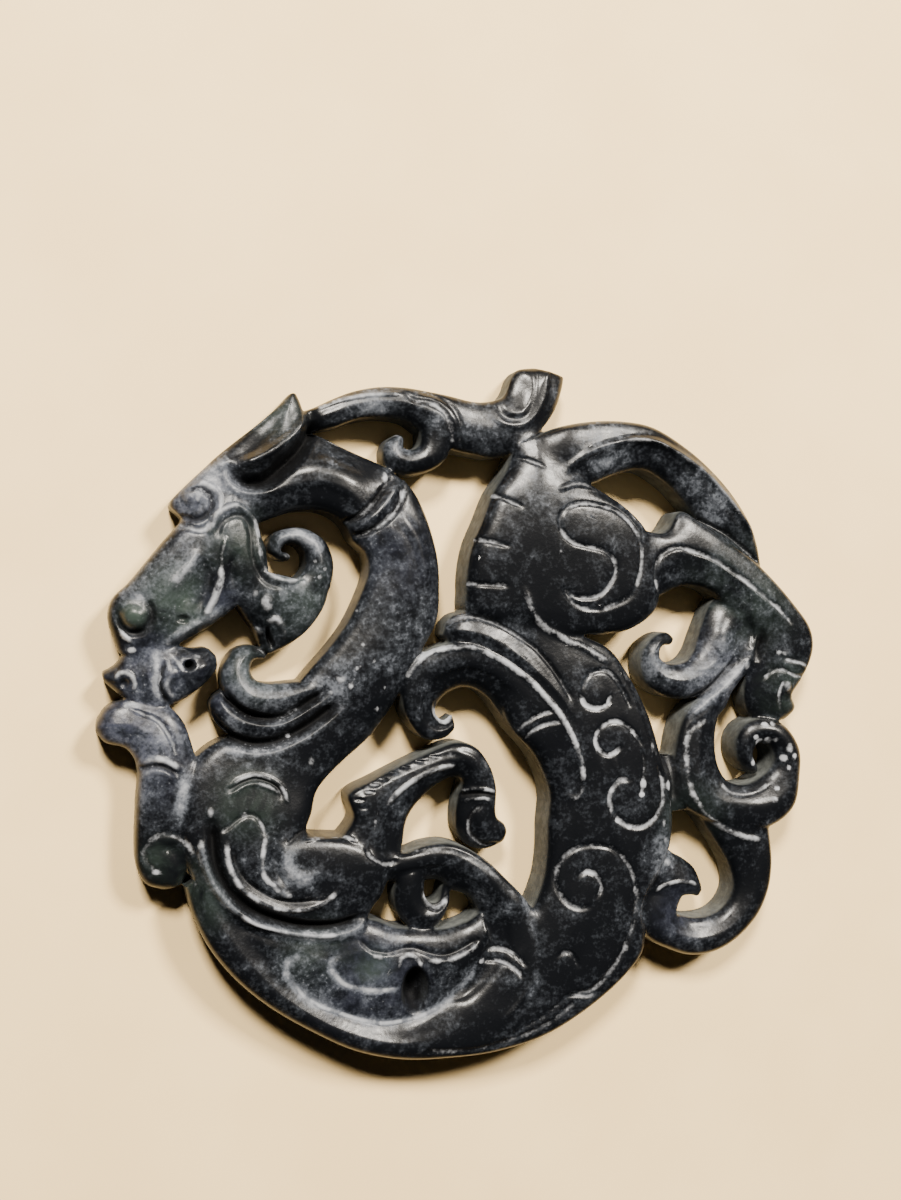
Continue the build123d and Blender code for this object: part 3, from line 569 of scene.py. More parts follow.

# Columns of a line: half width in shares, lift in millimetres, chalk, then x and y of each point.
# A lift below zero is a groove and above zero a ridge, and a steep groove gets painted shade at its
# bottom. Chalk is how pale the line is painted: pale residue in most lines, a painted highlight on
# the ridges marked so below.
LINES = {
    # Ear and crest band
    # The faint pale along the top of this rim is a painted highlight
    "ear rim": (1.25, 0.45, 0.05, [
        -32.6, 31.9, -31, 32.3, -28.7, 33.3, -26.7, 34.7, -24.9, 36.2, -24, 37.7, -23.9, 39.2,
    ]),
    "ear hollow": (2.6, -0.6, 0, [-32.2, 34, -30, 35.3, -27.6, 37.4, -25.7, 39.6]),
    "under the ear": (1.5, -1.1, 0, [
        -32.9, 30.2, -31.6, 29.7, -29.3, 29.7, -26.9, 31.5, -24.5, 33.9, -23, 36.4, -22.8, 38.2,
    ]),
    "roll by the ear": (0.9, 0.25, 0.5, [-34.4, 30.9, -33, 29, -31, 28.4, -28.7, 28.6]),
    "forehead roll": (1, 0.2, 0.5, [-36.9, 30.4, -35.2, 31.6, -33.6, 32.4]),
    # Its pale is a painted highlight along the shoulder of the crest band
    "crest rim": (0.5, 0.14, 0.5, [-22.3, 39.5, -20.4, 40.3, -18.7, 40.9, -15.3, 41.6, -11, 41.9]),
    "crest scroll inner": (0.6, -0.12, 0.5, [
        -10.2, 42, -9.3, 41.1, -7, 40.8, -5.5, 39.9, -4.5, 38.5, -4, 37, -3.9, 35.4,
    ]),
    "crest scroll outer": (0.6, -0.12, 0.3, [
        -8.5, 42.3, -6.3, 41.9, -4.4, 40.7, -3.2, 39, -2.8, 37, -3, 35.3,
    ]),
    "crest knob": (0.5, -0.15, 0.6, [-11.6, 36.5, -10.6, 36.9, -9.7, 36.1]),
    "fishtail pocket": (0.8, -0.14, 0, [
        2.4, 41.6, 2.7, 40.2, 3.8, 39.2, 5.4, 39.2, 6.8, 40.1, 7.7, 42, 8.3, 44.3, 8.5, 46,
    ]),
    "fishtail rim": (0.7, 0.1, 0.2, [
        1.8, 39.2, 3.5, 38.2, 5.8, 38.2, 7.4, 39.2, 8.4, 40.6, 9.2, 42.4, 9.6, 44.6, 9.7, 46,
    ]),
    "fishtail ridge": (1.1, 0.06, 0.5, [9.4, 39.6, 10.4, 41.4, 11, 43, 11.3, 44.8]),
    # Forehead, brow and eye
    "temple roll": (2.6, 0.3, 0, [
        -27.8, 29.6, -25.4, 31.1, -23, 31.6, -20.6, 31.3, -18.2, 30.2, -16.2, 29, -14.8, 27.8,
    ]),
    "nape slope": (2.2, -0.3, 0, [-24, 35.4, -20.5, 34.6, -17, 33.3, -14.2, 31.8]),
    "corner curl": (0.6, 0.14, 0.6, [
        -37.9, 29, -36.9, 29.5, -35.7, 28.9, -34.8, 27.7, -35, 26.2, -35.7, 24.9,
    ]),
    "corner curl groove": (0.5, -0.28, 0.1, [
        -38.8, 28.4, -37.4, 28.7, -36.2, 28, -35.8, 26.8, -36.3, 25.6, -37.6, 24.8, -39.4, 25.2,
    ]),
    "corner step": (0.6, -0.2, 0.6, [-40.2, 24.3, -38.8, 23.7, -37.4, 23.4, -36.4, 23.8, -35.7, 24.9]),
    "brow hook": (0.6, 0.2, 0.5, [
        -36.2, 23.3, -35.4, 25.2, -34, 26.3, -32.5, 26.6, -31, 25.6, -30.1, 24.1, -29.8, 22.4,
        -29.7, 20.6, -29.2, 19, -28.1, 17.7, -26.6, 17.1, -25.2, 17.2, -24, 18,
    ]),
    "brow hook groove": (0.5, -0.22, 0.2, [
        -35.2, 22.8, -34.6, 24.4, -33.4, 25.2, -32.1, 25.3, -31.2, 24.3, -30.9, 22.6, -30.8, 20.6,
        -30.2, 18.6, -28.9, 16.9, -27, 16.2,
    ]),
    # Its pale is a painted highlight along the edge of the muzzle
    "muzzle edge": (1.1, 0.34, 0.8, [-37.9, 20.2, -38.9, 18.7, -40.2, 17.3, -41.4, 15.9]),
    "beside the muzzle ridge": (0.9, -0.4, 0, [-35.9, 18.6, -36.2, 16.8, -36.8, 15, -37.6, 13.5]),
    "muzzle ridge": (0.65, 0.34, 0.85, [-34.7, 19, -34.9, 16.8, -35.4, 15, -36.1, 13.6, -36.9, 12.3]),
    "muzzle top": (0.5, 0.2, 0.3, [-34.2, 22.4, -34.5, 20.8, -34.7, 19]),
    "muzzle hollow": (2.2, -0.6, 0, [-37.2, 18.2, -38.4, 16, -39.6, 14, -40.4, 12.4]),
    "upper lip": (0.9, 0.25, 0.7, [-41.5, 9.2, -40, 10, -38, 11.3, -36.4, 12.1, -34.6, 13.4]),
    "nostril top": (0.8, -0.12, 0.7, [-46.3, 14.6, -45, 14.9, -43.3, 15.2]),
    "nostril ring": (0.7, -0.35, 0, [
        -47.4, 12.9, -47, 11.5, -45.9, 10.5, -44.4, 10.6, -43.4, 11.8, -43.2, 13.3, -44, 14.6,
    ]),
    "nose front": (0.5, 0.12, 0.95, [-47.1, 10.8, -46.5, 10, -45.7, 9.4]),
    # Jaw and cheek
    "jaw ridge": (0.8, 0.14, 0.9, [-42.4, 8.4, -42.8, 7, -42.6, 5.5, -42.8, 4, -42.4, 1.9]),
    "jaw bar": (0.4, 0.08, 0.4, [-41.5, 7.2, -41.2, 6.2, -41.1, 5.2]),
    "jaw crescent": (0.6, 0.1, 0.7, [-40.4, 5.3, -41.1, 4.6, -41.4, 3.7, -41, 2.8, -40.4, 2.1]),
    "jaw crescent groove": (0.45, -0.3, 0, [-41.6, 6.6, -42, 5.4, -42.2, 4, -41.8, 2.6, -41.2, 1.6]),
    "curl of the jaw": (0.6, 0.1, 0.55, [-40.6, 7.6, -40, 6.6, -39.5, 5.7, -39.2, 4.9]),
    "round the hole": (0.5, -0.3, 0, [-39.8, 7.4, -39.4, 8, -38.8, 7.6]),
    "lip ring": (0.45, 0.1, 0.55, [
        -47.7, 4.5, -47.3, 5.3, -46.5, 5.5, -45.7, 5, -45.3, 4.1, -45.5, 3.1,
    ]),
    "teeth": (0.7, 0.25, 0.6, [-28.8, 11.6, -27.7, 12.1, -26.8, 11.2, -26.5, 10]),
    "gap in the teeth": (0.5, -0.8, 0, [-28.6, 10.8, -28.3, 9.6, -27.9, 8.6]),
    "top of the cheek coil": (1.1, 0.03, 0.9, [
        -27.2, 21.4, -26.8, 22.4, -25.7, 23.2, -24.2, 23.2, -23, 22.4, -22.2, 21.3, -21.9, 20,
    ]),
    "cheek edge": (0.8, -0.25, 0.05, [-33, 16.5, -33.4, 18.5, -32.7, 20.5]),
    # Throat
    "curl nick": (0.4, -0.25, 0.3, [-30.4, 8.3, -29.3, 8, -28.2, 7.3]),
    "curl inside": (0.6, -0.25, 0.1, [-29.6, 6.4, -29.2, 5.2, -28.2, 4.4, -26.8, 4.4]),
    # Pale along the top of the fold: partly pale stone, partly a painted highlight
    "pale top of the fold": (0.9, -0.02, 0.9, [-29, -1.5, -27.2, -0.9, -25.8, -0.2, -24.2, 0.7]),
    "under the curl": (0.9, -0.65, 0, [
        -34.2, 2.8, -33, 1.2, -31.4, 0, -29.6, -0.6, -27.6, -0.7, -25.6, 0, -23.4, 1.4, -21.4, 2.7,
    ]),
    "under the fold": (1.2, -0.8, 0, [
        -35.8, -0.2, -34.4, -2.2, -32.8, -3.3, -30.8, -3.9, -28.4, -3.9, -26.2, -3.2, -24, -2.1,
        -21.8, -0.6, -19.6, 1.2,
    ]),
    # Collar round the neck
    "collar upper": (0.6, -0.4, 0.35, [
        -18.8, 24.8, -17.3, 25.3, -16, 26.3, -14.7, 27.7, -13.7, 29, -12.3, 30.5,
    ]),
    "collar lower": (0.6, -0.4, 0.5, [
        -17.3, 23, -15.7, 23.5, -13.7, 24.6, -12, 26.3, -10.9, 28.2, -10.5, 29.8,
    ]),
    "collar": (0.9, 0.32, 0.08, [-17.4, 24, -15.6, 25, -14, 26.4, -12.8, 28, -11.6, 29.9]),
    # The faint pale along this ridge is a painted highlight
    "neck ridge": (1.3, 0.22, 0.05, [-11.4, 25.9, -10.3, 24.4, -9.2, 22.6, -8.4, 20, -7.9, 17]),
    # Beard
    "beard line": (0.45, -0.16, 0.4, [
        -45.6, 0.8, -44.3, 0.2, -43, -0.3, -41.9, -1.3, -41, -2.8, -40.3, -4.6,
    ]),
    "beard top chalk": (0.6, 0, 0.5, [-47.2, 1.2, -45.8, 1.4, -44.2, 1]),
    "beard ring upper": (0.6, 0.14, 0.65, [-44.5, -5.8, -43, -5.4, -41.3, -5.8, -39.8, -6.8]),
    "beard ring lower": (0.6, 0.12, 0.55, [-44.3, -7.4, -43, -7.1, -41.8, -7.2, -40.4, -8.1]),
    "beard ring groove": (0.4, -0.22, 0, [-44.8, -6.7, -43, -6.3, -41.6, -6.5, -40.1, -7.4]),
    "beard band": (1.1, 0.08, 0.9, [-39, -7, -39.3, -8.7, -39.6, -10.4, -39.8, -12, -40.2, -13.8]),
    "beard scroll": (0.6, -0.1, 0.62, [
        -37.7, -18.1, -38.7, -16.6, -40, -15.3, -41.7, -14.9, -43.2, -15.7, -44.1, -17, -44, -18.5,
        -42.8, -19.6,
    ]),
    "inside the beard scroll": (1.2, -0.3, 0, [-40, -18.5, -40.8, -16.9, -42.2, -17]),
    # Chest and shoulder
    "chest band": (1, 0.05, 0.75, [
        -34, -4.5, -32, -4.7, -30, -4.9, -28, -4.5, -26, -3.9, -24, -3, -22, -1.9, -20.8, -0.8,
    ]),
    "shoulder arc": (0.45, 0.12, 0.55, [
        -33.3, -9, -32.4, -8.3, -30.8, -7.8, -29.4, -7.9, -28, -8.5, -26.8, -9.6, -26.2, -11.2,
    ]),
    "shoulder arc groove": (0.42, -0.2, 0, [
        -33.6, -9.6, -32.2, -8.8, -30.6, -8.3, -29, -8.6, -27.6, -9.4, -26.8, -10.8,
    ]),
    "shoulder arc lower": (0.4, 0.1, 0.45, [
        -33.4, -10.1, -31.8, -9.1, -30, -8.9, -28.2, -9.5, -27, -10.3,
    ]),
    "leaf hook": (0.45, -0.18, 0.5, [
        -34.8, -14.8, -33.7, -14.1, -32.4, -13.1, -31.2, -12.7, -30.2, -13.1, -29.6, -14.1,
        -29.1, -15.3,
    ]),
    "spiral outer": (0.55, 0.16, 0.65, [
        -34, -16.2, -34, -17.4, -33.8, -18.7, -33.2, -20.4, -32, -22.2, -30, -23.7, -27.8, -24.8,
        -25.3, -25.2, -22.8, -24.9, -21, -24.1, -19.9, -23.1,
    ]),
    "spiral groove": (0.6, -0.25, 0, [
        -33.2, -17, -32.9, -18.6, -32.2, -20.2, -31, -21.6, -29.2, -22.9, -27, -23.9, -24.6, -24.2,
        -22.4, -23.9,
    ]),
    "spiral dashes": (0.5, 0.06, 0.68, [
        -29.1, -15.6, -29.4, -17.4, -29.6, -19.2, -29.3, -20.6, -28.5, -21.6, -27.4, -22.7, -26, -23.4,
    ]),
    "spiral dashes end": (0.4, 0.05, 0.5, [-24.4, -23.7, -22.8, -23.7, -21.3, -23.5]),
    "spiral crescent": (1.3, 0.16, 0.9, [
        -26, -17.8, -26.4, -19.3, -25.4, -20.7, -23.6, -21.1, -22.1, -20.5,
    ]),
    "elbow hollow": (1.3, -0.35, 0, [-27.6, -16.4, -27.9, -18.6, -27.4, -20.4, -26, -22]),
    # Its pale is a painted highlight along the top edge of the elbow leaf
    "elbow leaf": (0.4, 0.14, 0.5, [-24, -16.4, -22, -16.1, -20, -16.1, -18.4, -16.3, -17.2, -16.9]),
    "elbow stripe": (0.36, -0.2, 0.3, [-26.2, -16.6, -24.4, -15.3, -22.4, -14.7, -20, -14.4, -18, -14]),
    "body crease": (1.1, -0.75, 0, [
        -36, -13.8, -35.7, -15.6, -35.6, -17.4, -35.2, -19.2, -34.5, -20.9, -33.4, -22.6, -31.9, -24.1,
        -30, -25.4, -27.6, -26.4, -25, -27.2, -22, -27.6, -19, -27.6, -16.6, -26.9,
    ]),
    "body ridge upper": (0.8, 0.2, 0.7, [
        -37.1, -16.4, -36.9, -18, -36.4, -19.7, -35.3, -22, -33.7, -24.2, -32.2, -25.5,
    ]),
    # The pale of this ridge and of its crest below is a painted highlight on the body's lit edge
    "body ridge": (1.2, 0.36, 0.85, [
        -32.2, -25.5, -30.8, -26.6, -29, -27.4, -26, -28.2, -22.6, -28.8, -19.6, -28.9, -17.4, -28.4,
        -15.7, -27.4,
    ]),
    "crest of the body ridge": (0.5, 0.1, 0.7, [
        -32.2, -25.5, -30.8, -26.6, -29, -27.4, -26, -28.2, -22.6, -28.8, -19.6, -28.9,
    ]),
    # Lobe that the lower arch curls round
    "lobe crescent": (0.8, -0.08, 0.8, [
        -23.9, -31.6, -25.1, -31.3, -26.2, -32.3, -26.2, -33.8, -25.1, -35.5, -22.8, -37.5, -19.7, -39,
        -16.6, -40.3, -13.5, -41, -10.8, -40.9, -8.2, -40.4, -5.8, -39.3, -3.5, -37.7, -1.7, -35.8,
        -0.5, -33.6,
    ]),
    "lobe inner crescent": (0.75, -0.12, 0.85, [
        -19.6, -31.2, -20.5, -32.3, -20.3, -33.6, -18.9, -35.2, -16.6, -36.1, -13.9, -36.5,
        -11.2, -36.4,
    ]),
    "core of the lobe crescent": (0.42, 0.05, 0.6, [
        -25.6, -34.4, -24, -36.6, -22.2, -37.9, -19.7, -39, -16.6, -40.3, -13.5, -41, -10.8, -40.9,
        -8.2, -40.4, -5.8, -39.3,
    ]),
    "core of the inner crescent": (0.42, 0.05, 0.65, [
        -20.2, -33.6, -18.9, -35.2, -16.6, -36.1, -13.9, -36.5, -11.2, -36.4,
    ]),
    "lobe eye": (0.45, 0.1, 0.75, [-11.3, -33.6, -11.2, -32.7, -10.1, -32.2, -8.9, -32.7, -8.4, -33.9]),
    "lobe seam": (0.5, -0.2, 0.1, [
        -16.6, -29.8, -15.1, -31.2, -12.8, -31.7, -11.2, -31.4, -9.3, -31.4, -7.2, -32.2, -5.1, -32.6,
        -2.8, -31.9, -0.7, -30.8,
    ]),
    "lobe upper edge": (0.5, 0.12, 0.5, [-15.4, -31.8, -13.4, -32.3]),
    # Its pale is a painted highlight
    "lobe lit edge": (0.55, 0.14, 0.5, [-7.6, -32.9, -5.1, -33.3, -2.8, -32.6, -0.6, -31.4]),
    # Foreleg and claw
    "foreleg ridge": (0.55, 0.16, 0.7, [
        -13, -12.4, -12, -11.2, -11, -10.3, -9.5, -9.3, -7.5, -8.3, -6, -7.8, -4.5, -7.5, -3.5, -7.4,
    ]),
    "foreleg rim": (0.6, -0.07, 0.25, [
        -17.9, -11.7, -16.5, -10.7, -14.6, -9.7, -12.5, -8.6, -10, -7.6, -7.5, -6.8, -5, -6.1,
        -3, -6.1,
    ]),
    "knee rim": (0.6, -0.07, 0.25, [-3, -5.2, -1.4, -5.7, 0, -6.8, 1, -8, 1.5, -9.4]),
    "claw ring upper": (0.4, 0.12, 0.6, [-2.4, -11, -1, -10.7, 0.6, -10.8, 2.1, -11.2]),
    "claw ring lower": (0.4, 0.12, 0.5, [-2.4, -12.4, -1, -12, 0.6, -12, 2, -12.5]),
    "claw ring groove": (0.36, -0.22, 0, [-2.6, -11.7, -1, -11.4, 0.6, -11.4, 2.1, -11.8]),
    "claw spiral": (0.4, -0.18, 0.4, [
        0, -12.9, -1, -13.8, -1.6, -15, -1.4, -16.6, -0.3, -17.8, 1, -18.4, 2.4, -18.2,
    ]),
    "elbow ring": (0.5, -0.15, 0.4, [
        -15.9, -17.8, -15.3, -19, -14.1, -19.8, -12.6, -20.1, -11.4, -19.8,
    ]),
    # Lower arch
    "arch rim": (0.6, -0.07, 0.3, [
        -11.8, -19.3, -10, -18.7, -8.3, -18.6, -6.4, -18.5, -4.5, -18.7, -2.6, -19.4, -0.6, -20.5,
        1.4, -22, 3.2, -23.8, 4.6, -25.4,
    ]),
    "arch scroll eye": (0.55, -0.25, 0.8, [
        -7.8, -24.2, -7.3, -25.7, -6.2, -26.5, -5, -26.1, -4.4, -25.2,
    ]),
    "arch arc upper": (0.45, -0.16, 0.45, [0.5, -32.3, 2.6, -32.2, 4.2, -32.8, 5.9, -34.5]),
    "arch arc lower": (0.45, -0.16, 0.5, [0.3, -33.8, 2.6, -33.9, 4.2, -34.7, 5.4, -36]),
    "arch band": (0.8, -0.06, 0.4, [
        5.4, -24.6, 6.3, -27, 6.8, -29, 7.3, -31, 7.4, -33, 7.5, -35, 7, -37, 6, -39,
    ]),
    "arch fold": (0.5, 0.1, 0.15, [7.4, -36, 6, -37.8, 4.6, -39.6, 3, -41.2]),
    # Wing and feathers
    "wing ridge": (0.55, 0.16, 0.75, [
        -10.4, 4.2, -9.4, 5.8, -8.3, 7, -7, 7.8, -5, 8.2, -3.5, 8.3, -2, 8.4, 0, 7.9, 1, 7.3, 2.5, 6.6,
        4, 5.6, 5.5, 4.5, 7, 3.2, 8.3, 1.8, 9.5, 0.5, 10.5, -0.8, 11.4, -2.2, 12.3, -3.9, 13.1, -5.9,
        13.6, -7.8, 13.9, -9.9,
    ]),
    "wing foot": (0.5, 0.08, 0.5, [13.9, -10.4, 13.6, -11.6, 12.8, -12.1, 11.4, -11.8]),
    "feather upper": (0.42, -0.15, 0.4, [4.8, -3.2, 5.6, -2.2, 7, -1.1, 8.4, -0.6, 9.6, -0.3]),
    "feather lower": (0.42, -0.15, 0.45, [6, -4.2, 6.7, -3.1, 7.9, -2.3, 9.4, -1.9, 10.7, -1.8]),
    "wing scroll": (0.5, -0.2, 0.85, [
        -6.2, 0.8, -6.1, -0.4, -5.5, -1.4, -4.6, -1.7, -3.8, -1.1, -3.2, -0.8,
    ]),
    "band line": (0.5, -0.2, 0.35, [
        -4.9, 11.4, -3.6, 12, -2, 12.3, -0.6, 12.2, 1.3, 11.6, 3, 10.8, 5, 9.6, 6.8, 8.4, 8.2, 7,
        9.5, 5.4, 10.6, 3.8, 11.4, 2.5, 12, 1.4,
    ]),
    # Body
    "body edge": (0.7, 0.12, 0.45, [
        5.4, 16, 6.2, 14.4, 6.8, 12.6, 8.4, 11, 10.4, 9.9, 12, 9, 13.7, 8.4, 15.5, 7.4, 17.6, 6.2,
    ]),
    "first scroll eye": (0.5, -0.16, 0.85, [
        13.5, 2, 13.7, 1, 14.4, 0.2, 16, -0.1, 17.3, 0.5, 17.8, 1.5,
    ]),
    "first scroll": (0.5, -0.14, 0.42, [
        13.8, 2.5, 14.2, 3.8, 15.4, 4.8, 17.2, 4.9, 18.7, 3.7, 19.9, 1.8, 20.6, 0.2,
    ]),
    "second scroll eye": (0.5, -0.16, 0.8, [16, -2.9, 15.5, -4.4, 16.2, -5.9, 17.7, -6.4, 19.2, -5.5]),
    "second scroll": (0.5, -0.14, 0.6, [
        16.2, -2.8, 17.2, -2.1, 18.6, -1.9, 20, -2.5, 21.3, -3.7, 22.4, -5.2,
    ]),
    "third scroll": (0.55, -0.14, 0.5, [
        25, -8.4, 25.6, -11, 25.4, -13.4, 24.2, -15.4, 22.5, -16.4, 20.6, -16.3, 19, -15.5, 18, -14,
        17.5, -12.5, 18, -11, 19, -9.9, 20.5, -9.9,
    ]),
    "third scroll bar": (0.4, -0.15, 0.4, [22.4, -6, 22.7, -7.6, 22.6, -9.4, 22.4, -11, 22.2, -12.2]),
    "big spiral": (0.6, -0.14, 0.34, [
        12.6, -38.6, 14.8, -38.6, 16.4, -37.6, 18, -35.8, 19.4, -34, 20.4, -32, 21.3, -29.6,
        21.7, -27.2, 21.6, -25, 20.9, -22.6, 19.6, -20.6, 18, -19.2, 16, -18.7, 13.6, -18.8,
        11.6, -19.9, 10.5, -21.6, 10.2, -23.4, 10.7, -25.1, 11.9, -26.5, 13.4, -27.1, 14.8, -26.9,
    ]),
    "big spiral eye": (0.5, -0.16, 0.8, [
        13.4, -22.8, 14.4, -22.2, 15.6, -22.7, 16.3, -23.8, 16.4, -24.8, 15.9, -25.6,
    ]),
    "right rim": (0.6, -0.08, 0.25, [
        19.7, 5.3, 21, 3, 22.3, 0, 23.4, -3, 24.4, -6, 25.1, -8.5, 26, -10.6,
    ]),
    "belly mark": (0.5, -0.15, 0.35, [10.3, -33.4, 11.4, -32.9, 12.6, -33.6, 13.2, -35]),
    "belly tick": (0.45, -0.15, 0.4, [11.8, -38.9, 13.5, -39, 14.8, -39.2, 16, -38.8]),
    "lower rim": (0.6, -0.1, 0.3, [
        -8, -44.9, -4, -45.2, 0, -45.1, 4.5, -44.1, 8, -43, 10.5, -41.6, 13, -39.8,
    ]),
    "lower rim inner": (0.55, -0.08, 0.22, [3.6, -43.6, 7, -42.2, 9.5, -40.8, 12, -38.6]),
    "beside the body": (1.2, -0.5, 0, [26.8, -5.6, 27.4, -8, 27.8, -11, 27.6, -13.8]),
    # Haunch
    "first notch": (0.5, -0.14, 0.4, [4.7, 33.8, 6.4, 33.4, 8.3, 32.5]),
    "second notch": (0.5, -0.18, 0.45, [0.5, 28.7, 2.4, 28.3, 5, 27.1]),
    "third notch": (0.5, -0.18, 0.5, [-2, 22.7, 0.1, 22.5, 3.2, 21.8]),
    "fourth notch": (0.5, -0.18, 0.55, [-2.6, 16.8, -0.3, 16.7, 3, 16.5]),
    "thigh line": (0.6, 0.2, 0.3, [
        10.6, 29.6, 12.8, 30.3, 15.1, 30, 18.2, 29, 20.5, 27.5, 22.4, 25.3, 24.7, 24.1, 26.4, 24.1,
    ]),
    "comma": (0.5, -0.15, 0.5, [
        10.8, 16.2, 12, 15.3, 13.6, 14.9, 15.8, 15.1, 17.3, 16.3, 18.4, 18.2, 18.2, 19.8, 16.8, 21.2,
        14.4, 21.8, 12.2, 22.3, 10.7, 23.6, 10.3, 25.5, 11.2, 26.9, 13.2, 27.6, 15.8, 27.5, 18.4, 26.8,
        20.4, 25.4, 21.7, 23.6, 22.4, 21.4, 22.3, 19, 21.5, 16.2,
    ]),
    "comma tail": (0.7, -0.12, 0.5, [21.5, 16, 20.4, 14.9, 18.9, 14.2, 16.2, 13.3]),
    "comma foot": (0.5, -0.14, 0.48, [16.2, 13.3, 13.9, 13.5, 12.2, 14.4, 10.8, 16]),
    # Tail and hind leg
    "tail ridge": (1, 0.28, 0, [
        11.6, 32.2, 13.3, 33.5, 15.6, 35, 18.7, 36, 22, 36.6, 25.1, 36.3, 28, 35, 30, 33.9, 33, 31.8,
        35, 29.8, 37, 27.7, 39, 25.3, 40, 23.8,
    ]),
    # Its pale is a painted highlight along the top of the tail ridge
    "crest of the tail ridge": (0.5, 0.08, 0.36, [
        20, 36.4, 22, 36.6, 25.1, 36.3, 28, 35, 30, 33.9, 33, 31.8, 35, 29.8, 37, 27.7, 39, 25.3,
        40, 23.8,
    ]),
    "leg groove": (0.5, -0.18, 0.55, [
        25.8, 15.2, 24.8, 16.9, 24.6, 18.9, 25.3, 20.6, 26.8, 21.6, 28.4, 21.9, 30.2, 21.4, 33, 20.5,
        35, 19.4, 37, 18.2, 39, 16.8, 41, 15.3, 42.8, 14, 44.3, 12.7, 45.5, 11.4,
    ]),
    "leg seam": (0.5, -0.2, 0.25, [31, 26, 33, 25.4, 36, 23.9, 38.5, 22.1, 41, 19.9]),
    "claw first": (0.42, -0.16, 0.5, [41.8, 3.4, 42.8, 4.5, 44, 4.8, 45.2, 4.4]),
    "claw second": (0.42, -0.16, 0.6, [44.6, 6.3, 46.2, 5.9, 47.6, 5.6, 48.8, 5]),
    "claw third": (0.42, -0.16, 0.55, [45, 4.6, 46.6, 3.8, 48.2, 3.8]),
    "claw fourth": (0.42, -0.16, 0.6, [44.8, 3.2, 44.2, 1.8, 44.2, 0.4, 44.8, -1.2]),
    "paw gap": (0.8, -0.7, 0, [40.8, 6.4, 41.2, 8, 41.6, 10]),
    # Curl under the hind leg
    "curl rim": (0.45, 0.12, 0.25, [28.8, 9.5, 27.5, 10.2, 26, 10, 24.8, 9.2, 24, 8]),
    # Its pale is a painted highlight on the curl
    "curl streak": (0.6, 0.05, 0.35, [31, 5, 32.4, 5.1, 34.2, 5.8]),
    "round the stub": (2.4, 0.35, 0, [33.6, 8, 35, 10, 36.4, 12]),
    # Cloud scroll and hook on the right
    "cloud line": (0.8, 0.2, 0.7, [30.3, -1.4, 31.6, -0.5, 33.2, 0.8, 35.3, 2.2, 37.4, 4.2, 39.7, 6.2]),
    "over the cloud line": (0.7, -0.35, 0, [30, 0.4, 32, 1.4, 34, 2.8, 35.8, 4.6, 37.4, 6.2]),
    "cloud rim": (0.6, -0.08, 0.5, [
        30.3, -12, 29.8, -10, 29.7, -8, 29.6, -6.5, 29.7, -5, 30.2, -3.6, 31, -2.8, 32.2, -2.4,
        33.4, -2.4,
    ]),
    "cloud edge": (0.6, 0.1, 0.6, [
        30, -11.5, 30.8, -13.1, 32, -14.8, 33.4, -16.1, 35.4, -17.3, 37, -18.1, 38.8, -18.8,
        41.2, -19.2,
    ]),
    "cloud crescent": (0.5, 0.06, 0.4, [
        34.9, -10.8, 35.5, -11.8, 36.6, -12.5, 38.7, -12.8, 41, -12.3, 42.6, -11.2,
    ]),
    "hook crescent": (1, -0.06, 0.25, [
        29, -29, 30, -30.4, 31.4, -31.4, 33, -31.4, 34.5, -30.5, 35.8, -29.1, 37.2, -28,
    ]),
    "beak line": (0.42, 0.12, 0.6, [25, -25.6, 26.5, -24.9, 28.5, -24.6, 30.5, -24.8, 31.6, -25.4]),
    "hook band": (0.9, 0.05, 0.3, [22.2, -30, 22.4, -28, 22.8, -26, 23.6, -24.2, 24.8, -22.8, 26, -22]),
}
